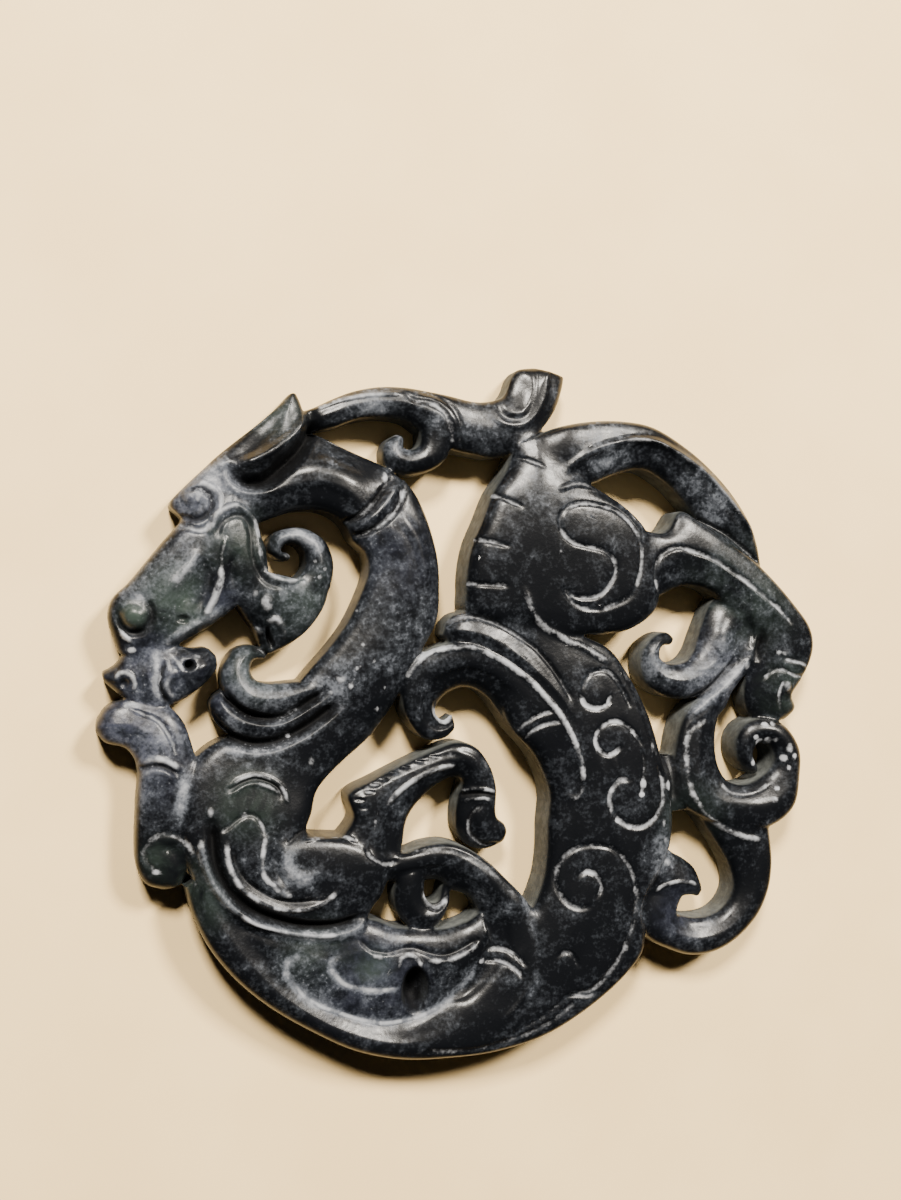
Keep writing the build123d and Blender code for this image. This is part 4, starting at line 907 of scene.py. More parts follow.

# Columns of a spot: x, y, its two radii in shares, lift in millimetres, chalk. Chalk is pale
# residue, and a painted highlight on the spot marked so below; a sunken spot gets painted shade.
SPOTS = [
    # Nostril, hole in the curl of the jaw, lip
    (-45.5, 12.5, 1.9, 1.8, 0.45, 0),
    (-37.3, 5.6, 2.2, 2.2, 0.25, 0),
    (-38.6, 6.3, 0.75, 0.75, -1.3, 0),
    (-37.6, 7.4, 0.9, 0.6, 0.05, 0.85),
    (-46.6, 4.1, 0.7, 0.8, -0.3, 0),
    (-45.7, 8.3, 0.7, 0.5, 0.05, 0.85),
    (-41.2, 9.3, 0.6, 0.6, 0.05, 0.6),
    (-39.4, 12.2, 1, 0.6, -0.3, 0),
    (-38.2, 28, 1.6, 1.6, 0.25, 0.1),
    (-39.1, 27.6, 0.6, 0.8, 0, 0.5),
    (-37.6, 27.5, 0.5, 0.6, 0, 0.5),
    # Cheek and teeth
    (-30.1, 10.5, 1.2, 0.9, 0.25, 0.95),
    (-28.8, 14.3, 1, 1.4, 0.12, 0.65),
    (-30.3, 15.4, 0.6, 0.7, 0.03, 0.4),
    (-32.4, 13.7, 0.6, 0.6, 0.05, 0.35),
    (-25.9, 20.3, 0.6, 0.6, 0.1, 0.6),
    (-22, 17.5, 0.4, 0.4, 0, 0.7),
    (-21.3, 18.6, 0.4, 0.4, 0, 0.7),
    (-22.6, 19.7, 0.35, 0.35, 0, 0.6),
    (-24, 16.9, 0.35, 0.35, 0, 0.6),
    # Chips at the brow and the collar
    (-13.2, 30.7, 0.5, 1.1, 0, 0.75),
    (-11, 28.4, 0.5, 1.1, 0, 0.75),
    (-34.6, 31.9, 0.7, 0.5, 0.03, 0.6),
    # Fishtail pocket
    (5.6, 42.6, 2.4, 3.4, -0.22, 0),
    # Specks down the neck
    (-19.3, 4.5, 0.9, 0.8, 0, 0.6),
    (-18, 3.4, 0.4, 0.4, 0, 0.7),
    (-20.6, 2.6, 0.5, 0.4, 0, 0.6),
    (-17.2, 5.8, 0.4, 0.4, 0, 0.6),
    (-16.4, 8.8, 0.35, 0.35, 0, 0.6),
    (-15, 6.6, 0.3, 0.3, 0, 0.45),
    (-13.4, 3.2, 0.3, 0.3, 0, 0.45),
    (-14.3, 0.3, 0.3, 0.5, 0, 0.5),
    (-17, 13.2, 0.3, 0.3, 0, 0.5),
    (-26, -3, 0.5, 0.4, 0.03, 0.7),
    (-23, -6.3, 0.7, 0.9, 0, 0.4),
    (-36, -12.3, 0.6, 0.9, 0.05, 0.5),
    (-37.2, -16.6, 0.6, 1.2, 0.05, 0.5),
    (-38.2, -20.7, 0.8, 1.5, 0.05, 0.5),
    (-42.7, -19.8, 0.7, 0.5, 0, 0.8),
    (-39.1, -9.3, 0.8, 1, 0, 0.6),
    (-31.8, -12.7, 0.8, 0.5, 0.03, 0.85),
    (-28.2, -21.8, 0.5, 0.5, 0.04, 0.9),
    (-26.3, -23.3, 0.8, 0.5, 0.04, 0.9),
    (-29.5, -17.8, 0.4, 0.7, 0.04, 0.8),
    # Basin and pit of the lobe, and a chalky spot by its seam
    (-15.8, -33.3, 4, 2.3, -0.16, 0),
    (-9.2, -36.9, 2.2, 3.6, -2, 0),
    (0.2, -33.8, 0.6, 0.5, 0.04, 0.85),
    # Eyes and chalky spots of the scrolls on the body, and chalk along its right edge
    (15.8, 2.2, 1.5, 1.4, 0.06, 0),
    (22.5, -10.5, 0.6, 0.8, 0.04, 0.95),
    (22.3, -12, 0.55, 0.5, 0.04, 0.95),
    (24, -5.7, 0.4, 0.9, 0, 0.8),
    (21, -3.4, 0.6, 0.5, 0, 0.8),
    (17.9, -14, 0.45, 0.8, 0, 0.85),
    (18.8, -15.4, 0.6, 0.5, 0, 0.85),
    (20.6, -16.4, 0.7, 0.4, 0, 0.8),
    (17.9, -11.2, 0.5, 0.6, 0, 0.8),
    (21.5, -25, 0.5, 0.9, 0, 0.6),
    (20.1, -32.8, 0.6, 1, 0, 0.6),
    (10.4, 21.2, 0.35, 0.35, 0, 0.5),
    (25.8, 13.7, 0.35, 0.35, 0, 0.8),
    (25.4, 15.9, 0.35, 0.35, 0, 0.7),
    (-0.1, 12.2, 1.2, 0.6, 0.05, 0.75),
    (-4.2, 8.3, 0.9, 0.5, 0, 0.6),
    (26.7, -11, 0.8, 0.9, 0.04, 0.7),
    (27, -13.5, 0.4, 0.6, 0, 0.6),
    (25.7, -16, 0.4, 0.9, 0, 0.5),
    (26, -18.5, 0.4, 0.6, 0, 0.5),
    (26.6, -21.8, 1.2, 0.8, 0.04, 0.55),
    # Cloud scroll
    (42.6, -7.8, 1, 1.2, -0.6, 0),
    (40.4, -8.3, 0.6, 0.8, 0.06, 0.9),
    (40.5, -4.8, 0.51, 0.51, 0, 0.95),
    (41.2, -5.5, 0.72, 0.65, 0, 0.95),
    (42.4, -5.4, 0.72, 0.72, 0, 0.95),
    (43.5, -5.2, 0.51, 0.51, 0, 0.95),
    (41.8, -3.1, 0.72, 0.51, 0, 0.95),
    (43.2, -3, 0.58, 0.43, 0, 0.95),
    (45.5, -6.4, 0.72, 0.87, 0, 0.95),
    (44.7, -7.8, 0.65, 0.65, 0, 0.95),
    (46.2, -7.5, 0.51, 0.51, 0, 0.95),
    (45.4, -9.2, 0.43, 0.43, 0, 0.95),
    (43.5, -12, 0.51, 0.51, 0, 0.95),
    (42.7, -13.6, 0.87, 0.65, 0, 0.95),
    (29.6, -7.6, 0.5, 0.6, 0.03, 0.6),
    # Paw and its curl
    (45.3, 2.3, 0.9, 1, 0.12, 0.5),
    (45, 7.1, 0.9, 0.5, 0.04, 0.7),
    (43.8, 7.2, 0.5, 0.4, 0, 0.6),
    (42.6, 4.6, 0.7, 0.5, 0.03, 0.6),
    (39.2, 5.4, 0.7, 0.8, 0.03, 0.6),
    (27.4, 3.4, 1.3, 1.1, 0.03, 0.4),
    # Pale here is a painted highlight on the top of the stub
    (35.4, 8, 1.6, 1.6, 0.1, 0.25),
    # Nicks along the top of the foreleg
    (-16.7, -11.5, 0.9, 0.25, -0.15, 0.5),
    (-16.2, -12.6, 0.8, 0.25, -0.15, 0.4),
    (-15.3, -10.6, 0.9, 0.25, -0.15, 0.5),
    (-14.6, -9.7, 0.9, 0.25, -0.15, 0.45),
    (-13.4, -9, 0.9, 0.25, -0.15, 0.4),
    (-12, -8.2, 0.9, 0.25, -0.15, 0.4),
    (-10.5, -7.5, 0.9, 0.25, -0.15, 0.4),
    (-8.5, -6.8, 0.9, 0.25, -0.15, 0.35),
    (-6.5, -6.2, 0.9, 0.25, -0.15, 0.35),
    (-14.6, -14.4, 0.4, 0.5, 0, 0.6),
]

# Columns of a join that is evened out: x, y, reach in shares
JOINS = [
    (9, 34.5, 6), (5, 33, 6), (6, 35, 6), (4, 37, 4), (13, -13, 3.5), (-14.5, -2, 5), (-21, -3, 5),
    (-20, 3.5, 4), (-12.3, 26.5, 3.5), (-30, 26, 3.5), (-33, 30, 3.5), (-23.5, 17, 3), (24, 20, 4.5),
    (-6, 36.5, 4), (-2, 37, 4), (-17, -25, 4), (-13, -21, 3), (-12.5, -39, 4), (-20, -37, 4),
    (-26, -32, 4), (-5, -39, 4), (4, -38, 4.5), (6.5, -29, 3.5), (0, -42, 3), (9, 8, 4),
    (4, 10.5, 3.5), (38, -16, 4), (33, -14, 3), (26, -25, 3.5), (24, -31, 3), (-39, -19, 2.5),
    (-45, 7, 3), (38.5, 7, 3.5), (-39, 26, 2.5), (31, 23, 3.5), (-24.5, 33.4, 4), (-20.5, 33.6, 4.5),
    (-16.5, 32, 4.5), (-13.4, 29.4, 3.5), (36, 11.5, 5), (33, 8.5, 4), (27.8, -10.5, 4), (28, -8, 3),
    (-20.5, 2.5, 3), (-4, -21, 3), (29, 25, 3.5),
]


def smooth_rows(rows):
    """The rows of a limb's table with others set between them, on a curve through them all."""
    first = [2 * here - there for here, there in zip(rows[0], rows[1])]
    last = [2 * here - there for here, there in zip(rows[-1], rows[-2])]
    return along_curve([first, *rows, last], flats_per_section)


def smooth_line(numbers):
    """An engraved line's points with others set between them, on a curve through them all."""
    points = list(zip(numbers[::2], numbers[1::2]))
    first = [2 * here - there for here, there in zip(points[0], points[1])]
    last = [2 * here - there for here, there in zip(points[-1], points[-2])]
    return np.array(along_curve([first, *points, last], steps_per_point))


def along_curve(padded, steps):
    """Values on the curve through a list, whose first and last entries only steer it."""
    finer = []
    for around in zip(padded, padded[1:], padded[2:], padded[3:]):
        for step in range(steps):
            finer.append([curve_value(*values, step / steps) for values in zip(*around)])
    finer.append(list(padded[-2]))
    return finer


def curve_value(before, here, there, after, t):
    """Value at share t of the way from here to there, on the curve through all four."""
    slope = (there - before) / 2
    next_slope = (after - here) / 2
    climb = there - here
    bend = 3 * climb - 2 * slope - next_slope
    twist = slope + next_slope - 2 * climb
    return here + t * (slope + t * (bend + t * twist))


def half_profile(width, crest, reach):
    """Left half of a cut across a limb, from the back to the crown: share across, height."""
    shoulder = min(most_rounded, reach / width)
    wall = wall_share * crest
    half = [(min(most_tucked, back_bevel / width), 0), (0, back_bevel), (0, wall)]
    for step in range(1, shoulder_steps + 1):
        turn = radians(90) * step / shoulder_steps
        half.append((shoulder * (1 - cos(turn)), wall + (shoulder_high * crest - wall) * sin(turn)))
    for step in range(1, dome_steps + 1):
        inward = step / (dome_steps + 0.5)
        rise = 1 - (1 - inward) ** 2
        across = shoulder + (0.5 - shoulder) * inward
        half.append((across, crest * (shoulder_high + (1 - shoulder_high) * rise)))
    return half


def set_section(cap, place, row, lean):
    """Moves the corners of a limb's end face onto one section of its table."""
    left_x, left_y, right_x, right_y = (value * share for value in row[:4])
    width = hypot(right_x - left_x, right_y - left_y)
    crest = row[4] * stone_thickness
    left = half_profile(width, crest, sharp_reach if lean < 0 else crown_reach)
    right = half_profile(width, crest, sharp_reach if lean > 0 else crown_reach)
    profile = left + [(1 - across, height) for across, height in reversed(right)]
    for corner in cap.verts:
        across, height = profile[corner[place]]
        fall = 1 - abs(lean) * (1 - across if lean > 0 else across)
        x = left_x + across * (right_x - left_x)
        y = left_y + across * (right_y - left_y)
        corner.co = (x, y, fall * height)


def grow_limb(shape, place, rows, lean):
    """One limb: a ring of corners drawn out from section to section."""
    corners = 2 * len(half_profile(1, 1, 1))
    ring = bmesh.ops.create_circle(shape, cap_ends=True, segments=corners, radius=1)["verts"]
    for number, corner in enumerate(ring):
        corner[place] = number
    cap = ring[0].link_faces[0]
    sections = smooth_rows(rows)
    set_section(cap, place, sections[0], lean)
    for row in sections[1:]:
        drawn = bmesh.ops.extrude_face_region(shape, geom=[cap])["geom"]
        cap = next(item for item in drawn if isinstance(item, bmesh.types.BMFace))
        set_section(cap, place, row, lean)


def rough_limbs():
    """All the limbs, each a closed skin that runs into its neighbours."""
    shape = bmesh.new()
    place = shape.verts.layers.int.new("place")
    for name, rows in LIMBS.items():
        grow_limb(shape, place, rows, leans.get(name, 0))
    bmesh.ops.recalc_face_normals(shape, faces=shape.faces)
    shape.verts.layers.int.remove(shape.verts.layers.int["place"])
    mesh = bpy.data.meshes.new("limbs")
    shape.to_mesh(mesh)
    shape.free()
    return mesh


def worked(mesh, *tools, kept=()):
    """The mesh after each modifier, given as its type and its settings, with some vertices kept."""
    blank = bpy.data.objects.new("blank", mesh)
    bpy.context.scene.collection.objects.link(blank)
    if len(kept):
        blank.vertex_groups.new(name="kept").add(kept.tolist(), 1, "REPLACE")
    for kind, settings in tools:
        tool = blank.modifiers.new(kind.lower(), kind)
        for setting, value in settings.items():
            setattr(tool, setting, value)
    evaluated = blank.evaluated_get(bpy.context.evaluated_depsgraph_get())
    result = bpy.data.meshes.new_from_object(evaluated)
    bpy.data.objects.remove(blank)
    bpy.data.meshes.remove(mesh)
    return result


def read_points(mesh, source, name):
    """Three numbers of each vertex, as rows of an array."""
    values = np.empty(3 * len(source), dtype=np.float32)
    source.foreach_get(name, values)
    return values.reshape(-1, 3).astype(float)


def bump(distance, reach):
    """1 on a line, falling smoothly to 0 at its reach."""
    return 0.5 + 0.5 * np.cos(pi * np.clip(distance / reach, 0, 1))


def near_line(places, numbers, reach):
    """Vertices within reach of a line, how far off it they are, and how far from its ends."""
    path = smooth_line(numbers)
    inside = (places > path.min(0) - reach) & (places < path.max(0) + reach)
    close = np.flatnonzero(inside.all(1))
    spot = places[close]
    off = np.full(len(close), np.inf)
    run = np.zeros(len(close))
    walked = 0.0
    for start, stop in zip(path, path[1:]):
        step = stop - start
        length = max(hypot(*step), shortest_step)
        along = np.clip((spot - start) @ step / length ** 2, 0, 1)
        away = np.hypot(*(spot - start - along[:, None] * step).T)
        nearer = away < off
        off[nearer] = away[nearer]
        run[nearer] = walked + along[nearer] * length
        walked += length
    touched = off < reach
    return close[touched], off[touched], np.minimum(run, walked - run)[touched]


def near_spot(places, x, y, across, up):
    """Vertices inside an oval, and how far off its middle they are, 1 at its edge."""
    off = np.hypot((places[:, 0] - x) / across, (places[:, 1] - y) / up)
    close = np.flatnonzero(off < 1)
    return close, off[close]


def even_out(mesh, points, amount):
    """Evens the heights of neighbouring vertices, by an amount given for each."""
    ends = np.empty(2 * len(mesh.edges), dtype=np.int32)
    mesh.edges.foreach_get("vertices", ends)
    one, other = ends[::2], ends[1::2]
    total = len(points)
    neighbours = np.bincount(one, minlength=total) + np.bincount(other, minlength=total)
    for _ in range(round((join_reach / grain) ** 2)):
        height = points[:, 2]
        around = np.bincount(one, height[other], total) + np.bincount(other, height[one], total)
        points[:, 2] = height + amount * (around / neighbours - height)


def carve(mesh):
    """Softens the joins, cuts the engraved lines and raises the ridges, all on the front.

    Returns the vertices that an engraved line or spot lies on.
    """
    points = read_points(mesh, mesh.vertices, "co")
    facing = read_points(mesh, mesh.vertex_normals, "vector")[:, 2]
    front = np.clip((facing - least_upturn) / upturn_blend, 0, 1) * (points[:, 2] > lowest_front)
    places = points[:, :2] / share
    soft = wear * front
    high = np.clip((points[:, 2] / stone_thickness - lowest_step) / step_blend, 0, 1)
    reached = np.maximum(front, high)
    for x, y, reach in JOINS:
        close, off = near_spot(places, x, y, reach, reach)
        soft[close] = np.maximum(soft[close], bump(off, 1) * reached[close])
    even_out(mesh, points, soft)
    lift = np.zeros(len(points))
    kept = np.zeros(len(points), dtype=bool)
    for half_width, height, chalk_and_highlight, numbers in LINES.values():
        close, off, from_end = near_line(places, numbers, half_width)
        depth = np.clip(end_depth + from_end / (2 * half_width), 0, 1)
        lift[close] += height * bump(off, half_width) * depth
        kept[close] |= chalk_and_highlight > least_chalk and half_width <= widest_cut
    for x, y, across, up, height, chalk_and_highlight in SPOTS:
        close, off = near_spot(places, x, y, across, up)
        lift[close] += height * bump(off ** spot_flatness, 1)
        kept[close] |= chalk_and_highlight > least_chalk
    points[:, 2] += lift * front
    mesh.vertices.foreach_set("co", points.astype(np.float32).ravel())
    mesh.update()
    return np.flatnonzero(kept & (front > 0))


def dragon_mesh():
    """The whole stone: limbs run together, engraved and thinned, in millimetres."""
    mesh = worked(
        rough_limbs(),
        ("REMESH", {"mode": "VOXEL", "voxel_size": grain, "adaptivity": 0}),
        ("SMOOTH", {"factor": smoothing, "iterations": first_rounds}),
    )
    kept = carve(mesh)
    triangles = sum(len(face.vertices) - 2 for face in mesh.polygons)
    ratio = min(1, most_triangles / triangles)
    return worked(
        mesh,
        ("SMOOTH", {"factor": smoothing, "iterations": last_rounds}),
        ("DECIMATE", {"ratio": ratio, "vertex_group": "kept", "invert_vertex_group": True}),
        kept=kept,
    )


def settle(mesh):
    """Sets the stone in the CAD box, flat on its back, and makes its millimetres metres.

    Returns the middle that the stone had before, in millimetres.
    """
    points = read_points(mesh, mesh.vertices, "co")
    low, high = (np.array(corner) * metre for corner in cad_box)
    middle = (points.min(0) + points.max(0)) / 2
    points[:, :2] += (low + high)[:2] / 2 - middle[:2]
    points = np.clip(points, low, high)
    mesh.vertices.foreach_set("co", (points / metre).astype(np.float32).ravel())
    mesh.update()
    return middle


def painted_shade_for(steepness):
    """How much painted shade the bottom of a cut gets, for how steeply it goes down."""
    return min(max((-steepness - shallow_cut) / (deep_cut - shallow_cut), 0), 1)


def mark(mesh, middle):
    """Writes on each vertex its chalk and painted highlight, its hazy band and painted highlight, the painted
    shade of its cut, and how sawn, grey, green and violet it is.
    """
    points = read_points(mesh, mesh.vertices, "co") * metre
    facing = read_points(mesh, mesh.vertex_normals, "vector")[:, 2]
    places = (points[:, :2] + middle[:2]) / share
    chalk_and_highlight = np.zeros(len(points))
    haze_and_highlight = np.zeros(len(points))
    painted_cut_shade = np.zeros(len(points))
    for half_width, height, residue_and_highlight, numbers in LINES.values():
        pale = haze_and_highlight if half_width > widest_cut else chalk_and_highlight
        close, off, from_end = near_line(places, numbers, chalk_spread * half_width)
        shape = np.clip(end_chalk + from_end / (2 * half_width), 0, 1)
        shape *= bump(off, chalk_spread * half_width)
        pale[close] = np.maximum(pale[close], residue_and_highlight * shape)
        # Painted shade at the bottom of a steep groove
        painted_cut_shade[close] = np.maximum(painted_cut_shade[close], shape * painted_shade_for(height / half_width))
    for x, y, across, up, height, residue_and_highlight in SPOTS:
        close, off = near_spot(places, x, y, across, up)
        chalk_and_highlight[close] = np.maximum(chalk_and_highlight[close], residue_and_highlight * (1 - off ** 2))
        # Painted shade at the bottom of a sunken spot
        painted_cut_shade[close] = np.maximum(painted_cut_shade[close], bump(off ** 2, 1) * painted_shade_for(2 * height / (across + up)))
    chalk_and_highlight *= facing > chalk_upturn
    wall_top = wall_share * stone_thickness + sawn_margin
    sawn = np.clip(1 - np.abs(facing) / sawn_upturn, 0, 1) * (points[:, 2] < wall_top)
    # Walls grow darker towards the left of the disc
    sawn *= np.clip((places[:, 0] - darker_walls_edge) / (pale_walls - darker_walls_edge), darkest_wall_share, 1)
    write(mesh, "chalk_and_highlight", chalk_and_highlight)
    write(mesh, "haze_and_highlight", haze_and_highlight)
    write(mesh, "painted_cut_shade", painted_cut_shade)
    write(mesh, "sawn", sawn)
    for name, patches in (("cloud", CLOUDS), ("moss", MOSSES), ("violet", VIOLETS)):
        value = np.zeros(len(points))
        for x, y, reach, amount in patches:
            off = np.hypot(places[:, 0] - x, places[:, 1] - y)
            value = np.maximum(value, amount * bump(off, reach))
        write(mesh, name, value * np.clip(facing + patch_wrap, 0, 1))


def write(mesh, name, values):
    """Stores a number for each vertex, which the stone's material reads by name."""
    layer = mesh.attributes.new(name, "FLOAT", "POINT")
    layer.data.foreach_set("value", values.astype(np.float32))


# Patches of grey cloudy stone. Columns: x, y, reach in shares, amount
CLOUDS = [
    (-40, 16, 15, 0.45), (-43, 5, 9, 0.7), (-44, -5, 12, 0.65), (-36, 29, 9, 0.85), (-27, 38, 6, 0.4),
    (-12, 12, 14, 0.35), (-23.5, 22, 4, 0.6), (-6, 39, 5, 0.55), (-14, 24, 9, 0.45), (-20, 4, 6, 0.65),
    (-30, -4, 10, 0.4), (-30, 3, 8, 0.6), (-33, -1, 4, 0.8), (-25, 16, 9, 0.65), (-22, -35, 6, 0.6),
    (-15, -38.4, 5, 0.45), (-6, -36, 6, 0.35), (-12, -30, 4, 0.6), (-28, -18, 9, 0.35),
    (-34, -22, 7, 0.3), (34, 6, 10, 0.85), (26, 6, 6, 0.5), (38, -6, 9, 0.25),
    (26, -20, 6, 0.7), (40, -4, 6, 0.2), (18, 36, 10, 0.55), (33, 30, 9, 0.6), (0, 40, 7, 0.5),
    (-16, 41, 8, 0.55), (38, 17, 10, 0.45), (5, 30, 8, 0.25), (38, 18, 6, 0.2), (-8, 2, 6, 0.3),
    (-11, 36, 5, 0.7), (45, 3, 6, 0.4),
]
# Patches of green stone
MOSSES = [
    (-40, 14.5, 7, 0.8), (-45.4, 12.6, 3, 1), (-33, 22, 7, 0.5), (-24, 15, 8, 0.4), (-31, -11, 7, 0.5),
    (-42, -18, 4, 0.6), (-38, -23, 7, 0.5), (45, 2, 6, 0.6), (38, 15, 12, 0.35), (-31, 5, 6, 0.35),
    (-28, 40, 7, 0.4), (30, -16, 8, 0.3), (-22, -31, 7, 0.3), (-15, -33.2, 4, 0.6),
]
# Patches of bluish violet stone
VIOLETS = [
    (-46, -3, 12, 0.9), (-43, 6, 7, 0.7), (-37, 27, 8, 0.7), (-15, -35, 11, 0.5), (-35, 15, 4, 0.6),
    (34, 5, 9, 0.4), (-35, 3, 6, 0.4), (-12, 20, 9, 0.3), (29, -29, 6, 0.5),
]


def add(tree, kind, inputs, **settings):
    """A shader node with its sockets set or linked, by name or number."""
    made = tree.nodes.new("ShaderNode" + kind)
    for setting, value in settings.items():
        setattr(made, setting, value)
    for socket, value in inputs.items():
        if isinstance(value, bpy.types.NodeSocket):
            tree.links.new(value, made.inputs[socket])
        else:
            made.inputs[socket].default_value = value
    return made


def blank_material(name):
    """A material with an empty node tree, and the tree."""
    material = bpy.data.materials.new(name)
    material.use_nodes = True
    material.node_tree.nodes.clear()
    return material, material.node_tree


def mixed(tree, amount, under, over):
    """One colour laid over another."""
    return add(tree, "Mix", {0: amount, 6: under, 7: over}, data_type="RGBA").outputs[2]


def ranged(tree, value, low, high, new_low=0, new_high=1):
    """A value read between two limits and held inside them."""
    inputs = {0: value, 1: low, 2: high, 3: new_low, 4: new_high}
    return add(tree, "MapRange", inputs, interpolation_type="SMOOTHSTEP").outputs[0]


def sums(tree, operation, first, second):
    """Two values worked into one."""
    return add(tree, "Math", {0: first, 1: second}, operation=operation).outputs[0]


def weighed(tree, *parts):
    """A sum of values, each given with its weight."""
    total = sums(tree, "MULTIPLY", *parts[0])
    for value, weight in parts[1:]:
        total = sums(tree, "ADD", total, sums(tree, "MULTIPLY", value, weight))
    return total


def grains(tree, where, scale, detail=5, rough=0.55, distortion=0):
    """Cloudy noise, with its scale in patches per metre."""
    inputs = {"Vector": where, "Scale": scale, "Detail": detail, "Roughness": rough, "Distortion": distortion}
    return add(tree, "TexNoise", inputs).outputs[0]


def mark_of(tree, name):
    """What was written on the mesh under a name."""
    return add(tree, "Attribute", {}, attribute_name=name).outputs["Fac"]


# Colours of the stone, of the chalk in its cuts, which also paints highlights on some ridges, of the
# painted shade in its cuts and pits, and of the table
black_stone = (0.0024, 0.0028, 0.0037, 1)
slate_stone = (0.0125, 0.0145, 0.018, 1)
grey_stone = (0.062, 0.069, 0.082, 1)
pale_stone = (0.17, 0.18, 0.2, 1)
pale_specks = (0.17, 0.18, 0.195, 1)
green_stone = (0.024, 0.035, 0.029, 1)
violet_stone = (0.042, 0.047, 0.074, 1)
sawn_stone = (0.12, 0.128, 0.122, 1)
# Painted shade for the bottoms of steep cuts and pits
painted_pit_shade = (0.002, 0.002, 0.0022, 1)
# Chalk white, also the colour of the painted highlights on some ridges
chalk_and_highlight_white = (0.25, 0.262, 0.285, 1)
warm_board = (0.76, 0.545, 0.255, 1)
light_board = (0.8, 0.58, 0.28, 1)
# Sizes of the clouds, flecks, dust and dashes of the stone and of the table's tone, in patches
# per metre
cloud_scale = 240
fleck_scale = 1300
dust_scale = 4200
dash_scale = 760
board_scale = 60
# Roughness of black and of grey polished stone, and how much chalk, walls and pits add to it
black_polish = 0.28
grey_polish = 0.42
dullness = 0.35
board_roughness = 0.7
# Gloss of polished stone and of dull walls and pits, and how strongly the stone bends light
bright_gloss = 0.31
dull_gloss = 0.08
light_bending = 1.46
# How much of a pit's bottom its painted shade covers
painted_shade_cover = 0.95
# Fine grain of the skin: its strength, and its height in metres
skin_strength = 0.22
skin_height = 0.0001


def dark_jade():
    """Near-black stone, clouded grey, with green and violet in it, chalk in its cuts, painted highlights on
    some ridges and painted shade in steep cuts and pits.
    """
    material, tree = blank_material("dark jade")
    where = add(tree, "TexCoord", {}).outputs["Object"]
    broad = grains(tree, where, cloud_scale, detail=7, rough=0.66, distortion=0.5)
    flecks = grains(tree, where, fleck_scale, detail=4, rough=0.6, distortion=0.2)
    dust = grains(tree, where, dust_scale, detail=2, rough=0.5)
    cloud = mark_of(tree, "cloud")
    haze_and_highlight = mark_of(tree, "haze_and_highlight")
    chalk_and_highlight = mark_of(tree, "chalk_and_highlight")
    sawn = mark_of(tree, "sawn")
    painted_cut_shade = mark_of(tree, "painted_cut_shade")

    # The haze mark brings broad pale bands into the clouding, some of them painted highlights
    clouding_and_highlights = weighed(tree, (broad, 0.45), (flecks, 0.33), (dust, 0.22), (cloud, 0.2), (haze_and_highlight, 0.21))
    black_to_slate = ranged(tree, clouding_and_highlights, 0.485, 0.605)
    slate_to_grey = ranged(tree, clouding_and_highlights, 0.57, 0.7)
    colour = mixed(tree, black_to_slate, black_stone, slate_stone)
    colour = mixed(tree, slate_to_grey, colour, grey_stone)
    green = sums(tree, "MULTIPLY", mark_of(tree, "moss"), ranged(tree, broad, 0.3, 0.6))
    colour = mixed(tree, green, colour, green_stone)
    flecked = ranged(tree, flecks, 0.3, 0.65, 0.1, 0.55)
    violet = sums(tree, "MULTIPLY", mark_of(tree, "violet"), flecked)
    colour = mixed(tree, violet, colour, violet_stone)
    saw_marks = ranged(tree, flecks, 0.3, 0.65, 0.85, 0.45)
    colour = mixed(tree, sums(tree, "MULTIPLY", sawn, saw_marks), colour, sawn_stone)
    # Painted shade at the bottoms of steep cuts and pits
    colour = mixed(tree, sums(tree, "MULTIPLY", painted_cut_shade, painted_shade_cover), colour, painted_pit_shade)

    worn = weighed(tree, (flecks, 0.5), (dust, 0.5))
    dashes = grains(tree, where, dash_scale, detail=3, rough=0.5)
    dashes = ranged(tree, dashes, 0.4, 0.58, 0.5, 1.2)
    # Chalk in the cuts and painted highlights on some ridges, broken into dashes and worn
    residue_and_highlight = sums(tree, "SUBTRACT", sums(tree, "MULTIPLY", chalk_and_highlight, dashes), worn)
    residue_and_highlight = ranged(tree, residue_and_highlight, -0.32, 0.4)
    residue_and_highlight = sums(tree, "MULTIPLY", residue_and_highlight, ranged(tree, chalk_and_highlight, 0, 0.12))
    grey_to_pale = ranged(tree, clouding_and_highlights, 0.68, 0.82, 0, 0.9)
    colour = mixed(tree, grey_to_pale, colour, pale_stone)
    specks = ranged(tree, dust, 0.66, 0.74, 0, 0.35)
    specks = sums(tree, "MULTIPLY", specks, ranged(tree, cloud, 0.1, 0.6))
    colour = mixed(tree, specks, colour, pale_specks)
    colour = mixed(tree, residue_and_highlight, colour, chalk_and_highlight_white)

    dull = sums(tree, "MAXIMUM", sums(tree, "MAXIMUM", residue_and_highlight, sawn), painted_cut_shade)
    rough = ranged(tree, clouding_and_highlights, 0.45, 0.72, black_polish, grey_polish)
    rough = sums(tree, "ADD", rough, sums(tree, "MULTIPLY", dull, dullness))
    relief = weighed(tree, (flecks, 0.6), (dust, 0.4))
    skin = {"Strength": skin_strength, "Distance": skin_height, "Height": relief}
    skin = add(tree, "Bump", skin).outputs[0]
    gloss = ranged(tree, sums(tree, "MAXIMUM", painted_cut_shade, sawn), 0, 1, bright_gloss, dull_gloss)
    inputs = {"Base Color": colour, "Roughness": rough, "Normal": skin, "IOR": light_bending}
    shader = add(tree, "BsdfPrincipled", inputs | {"Specular IOR Level": gloss})
    add(tree, "OutputMaterial", {"Surface": shader.outputs[0]})
    return material


# How far the table reaches from the disc, in metres
table_reach = 0.6
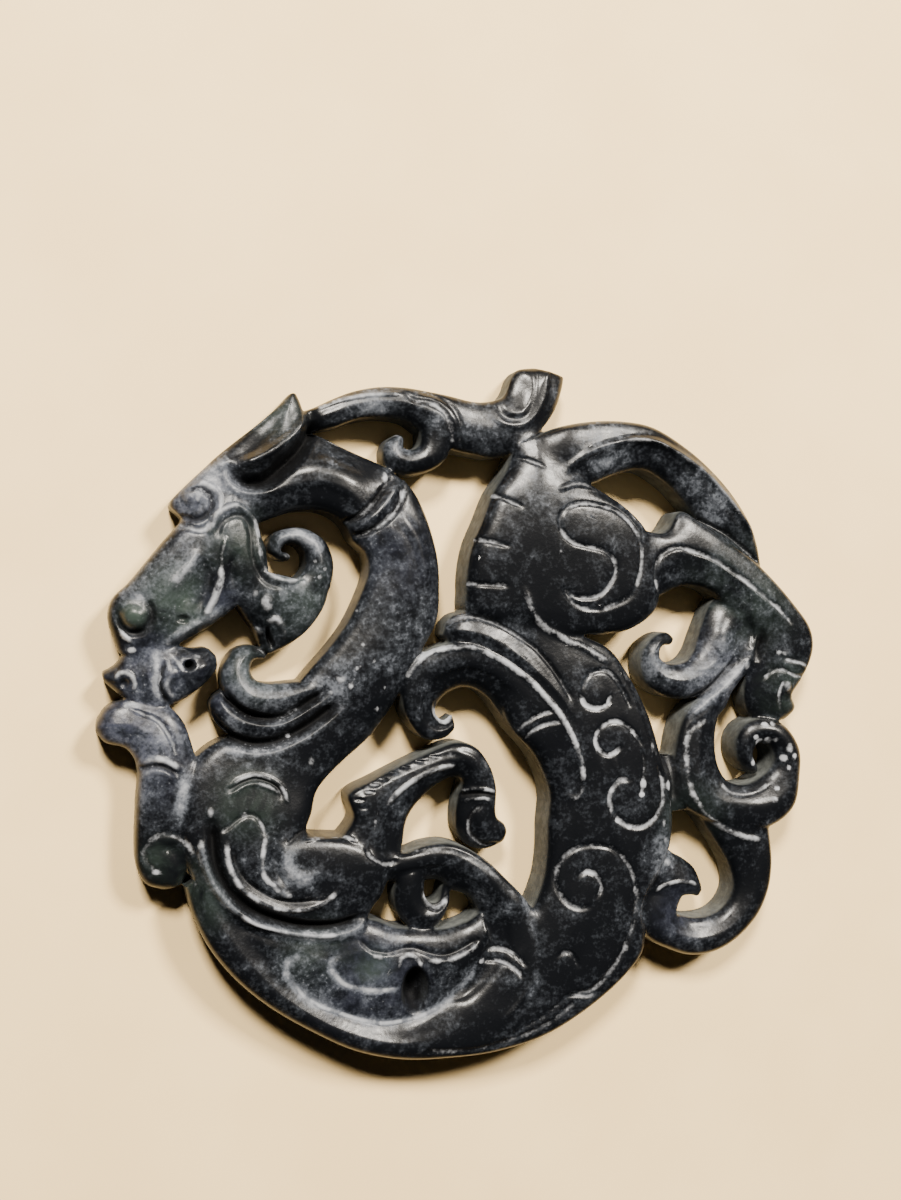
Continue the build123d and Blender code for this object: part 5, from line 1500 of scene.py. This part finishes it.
# Lamps: the place in metres and the power in watts of each
LAMPS = {
    "north west lamp": ((-0.115, 0.34, 0.41), 8.4),
    "north east lamp": ((0.24, 0.29, 0.41), 8.1),
}
lamp_width = 0.1
warm_light = (1, 0.93, 0.83)
room_light = (0.85, 0.92, 1, 1)
room_strength = 0.012
# Camera: its place in metres, its tilt in degrees, and its lens and sensor in millimetres
camera_place = (-0.03042, 0.00849, 0.1082)
camera_tilt = -15
lens_length = 42
sensor_width = 36
nearest_seen = 0.01


def pale_table():
    """A plain warm surface."""
    material, tree = blank_material("pale table")
    where = add(tree, "TexCoord", {}).outputs["Object"]
    tone = ranged(tree, grains(tree, where, board_scale, detail=3), 0.35, 0.65)
    colour = mixed(tree, tone, warm_board, light_board)
    shader = add(tree, "BsdfPrincipled", {"Base Color": colour, "Roughness": board_roughness})
    add(tree, "OutputMaterial", {"Surface": shader.outputs[0]})
    return material


def lay_table():
    """The plain pale surface that the stone lies on."""
    top = bmesh.new()
    bmesh.ops.create_grid(top, x_segments=1, y_segments=1, size=table_reach)
    mesh = bpy.data.meshes.new("table")
    top.to_mesh(mesh)
    top.free()
    mesh.materials.append(pale_table())
    table = bpy.data.objects.new("table", mesh)
    bpy.context.scene.collection.objects.link(table)


def hang_lamp(name, place, power):
    """A square lamp that faces the stone."""
    light = bpy.data.lights.new(name, "AREA")
    light.size = lamp_width
    light.energy = power
    light.color = warm_light
    lamp = bpy.data.objects.new(name, light)
    lamp.location = place
    lamp.rotation_euler = lamp.location.to_track_quat("Z", "Y").to_euler()
    bpy.context.scene.collection.objects.link(lamp)


def light_studio():
    """Two lamps beyond the top of the disc, and a little light from all round."""
    for name, (place, power) in LAMPS.items():
        hang_lamp(name, place, power)
    world = bpy.data.worlds.new("room")
    world.use_nodes = True
    back = world.node_tree.nodes["Background"]
    back.inputs[0].default_value = room_light
    back.inputs[1].default_value = room_strength
    bpy.context.scene.world = world


def place_camera():
    """Over the left side of the disc, tilted a little towards +X."""
    lens = bpy.data.cameras.new("camera")
    lens.sensor_width = sensor_width
    lens.lens = lens_length
    lens.clip_start = nearest_seen
    camera = bpy.data.objects.new("camera", lens)
    camera.location = camera_place
    camera.rotation_euler = (0, radians(camera_tilt), 0)
    bpy.context.scene.collection.objects.link(camera)
    bpy.context.scene.camera = camera


place_camera()
lay_table()
light_studio()

stone = dragon_mesh()
middle = settle(stone)
mark(stone, middle)
stone.name = "carved dragon"
stone.materials.append(dark_jade())
stone.polygons.foreach_set("use_smooth", [True] * len(stone.polygons))
dragon = bpy.data.objects.new("carved_dragon", stone)
bpy.context.scene.collection.objects.link(dragon)
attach(dragon, "root")
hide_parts("dragon_disc")
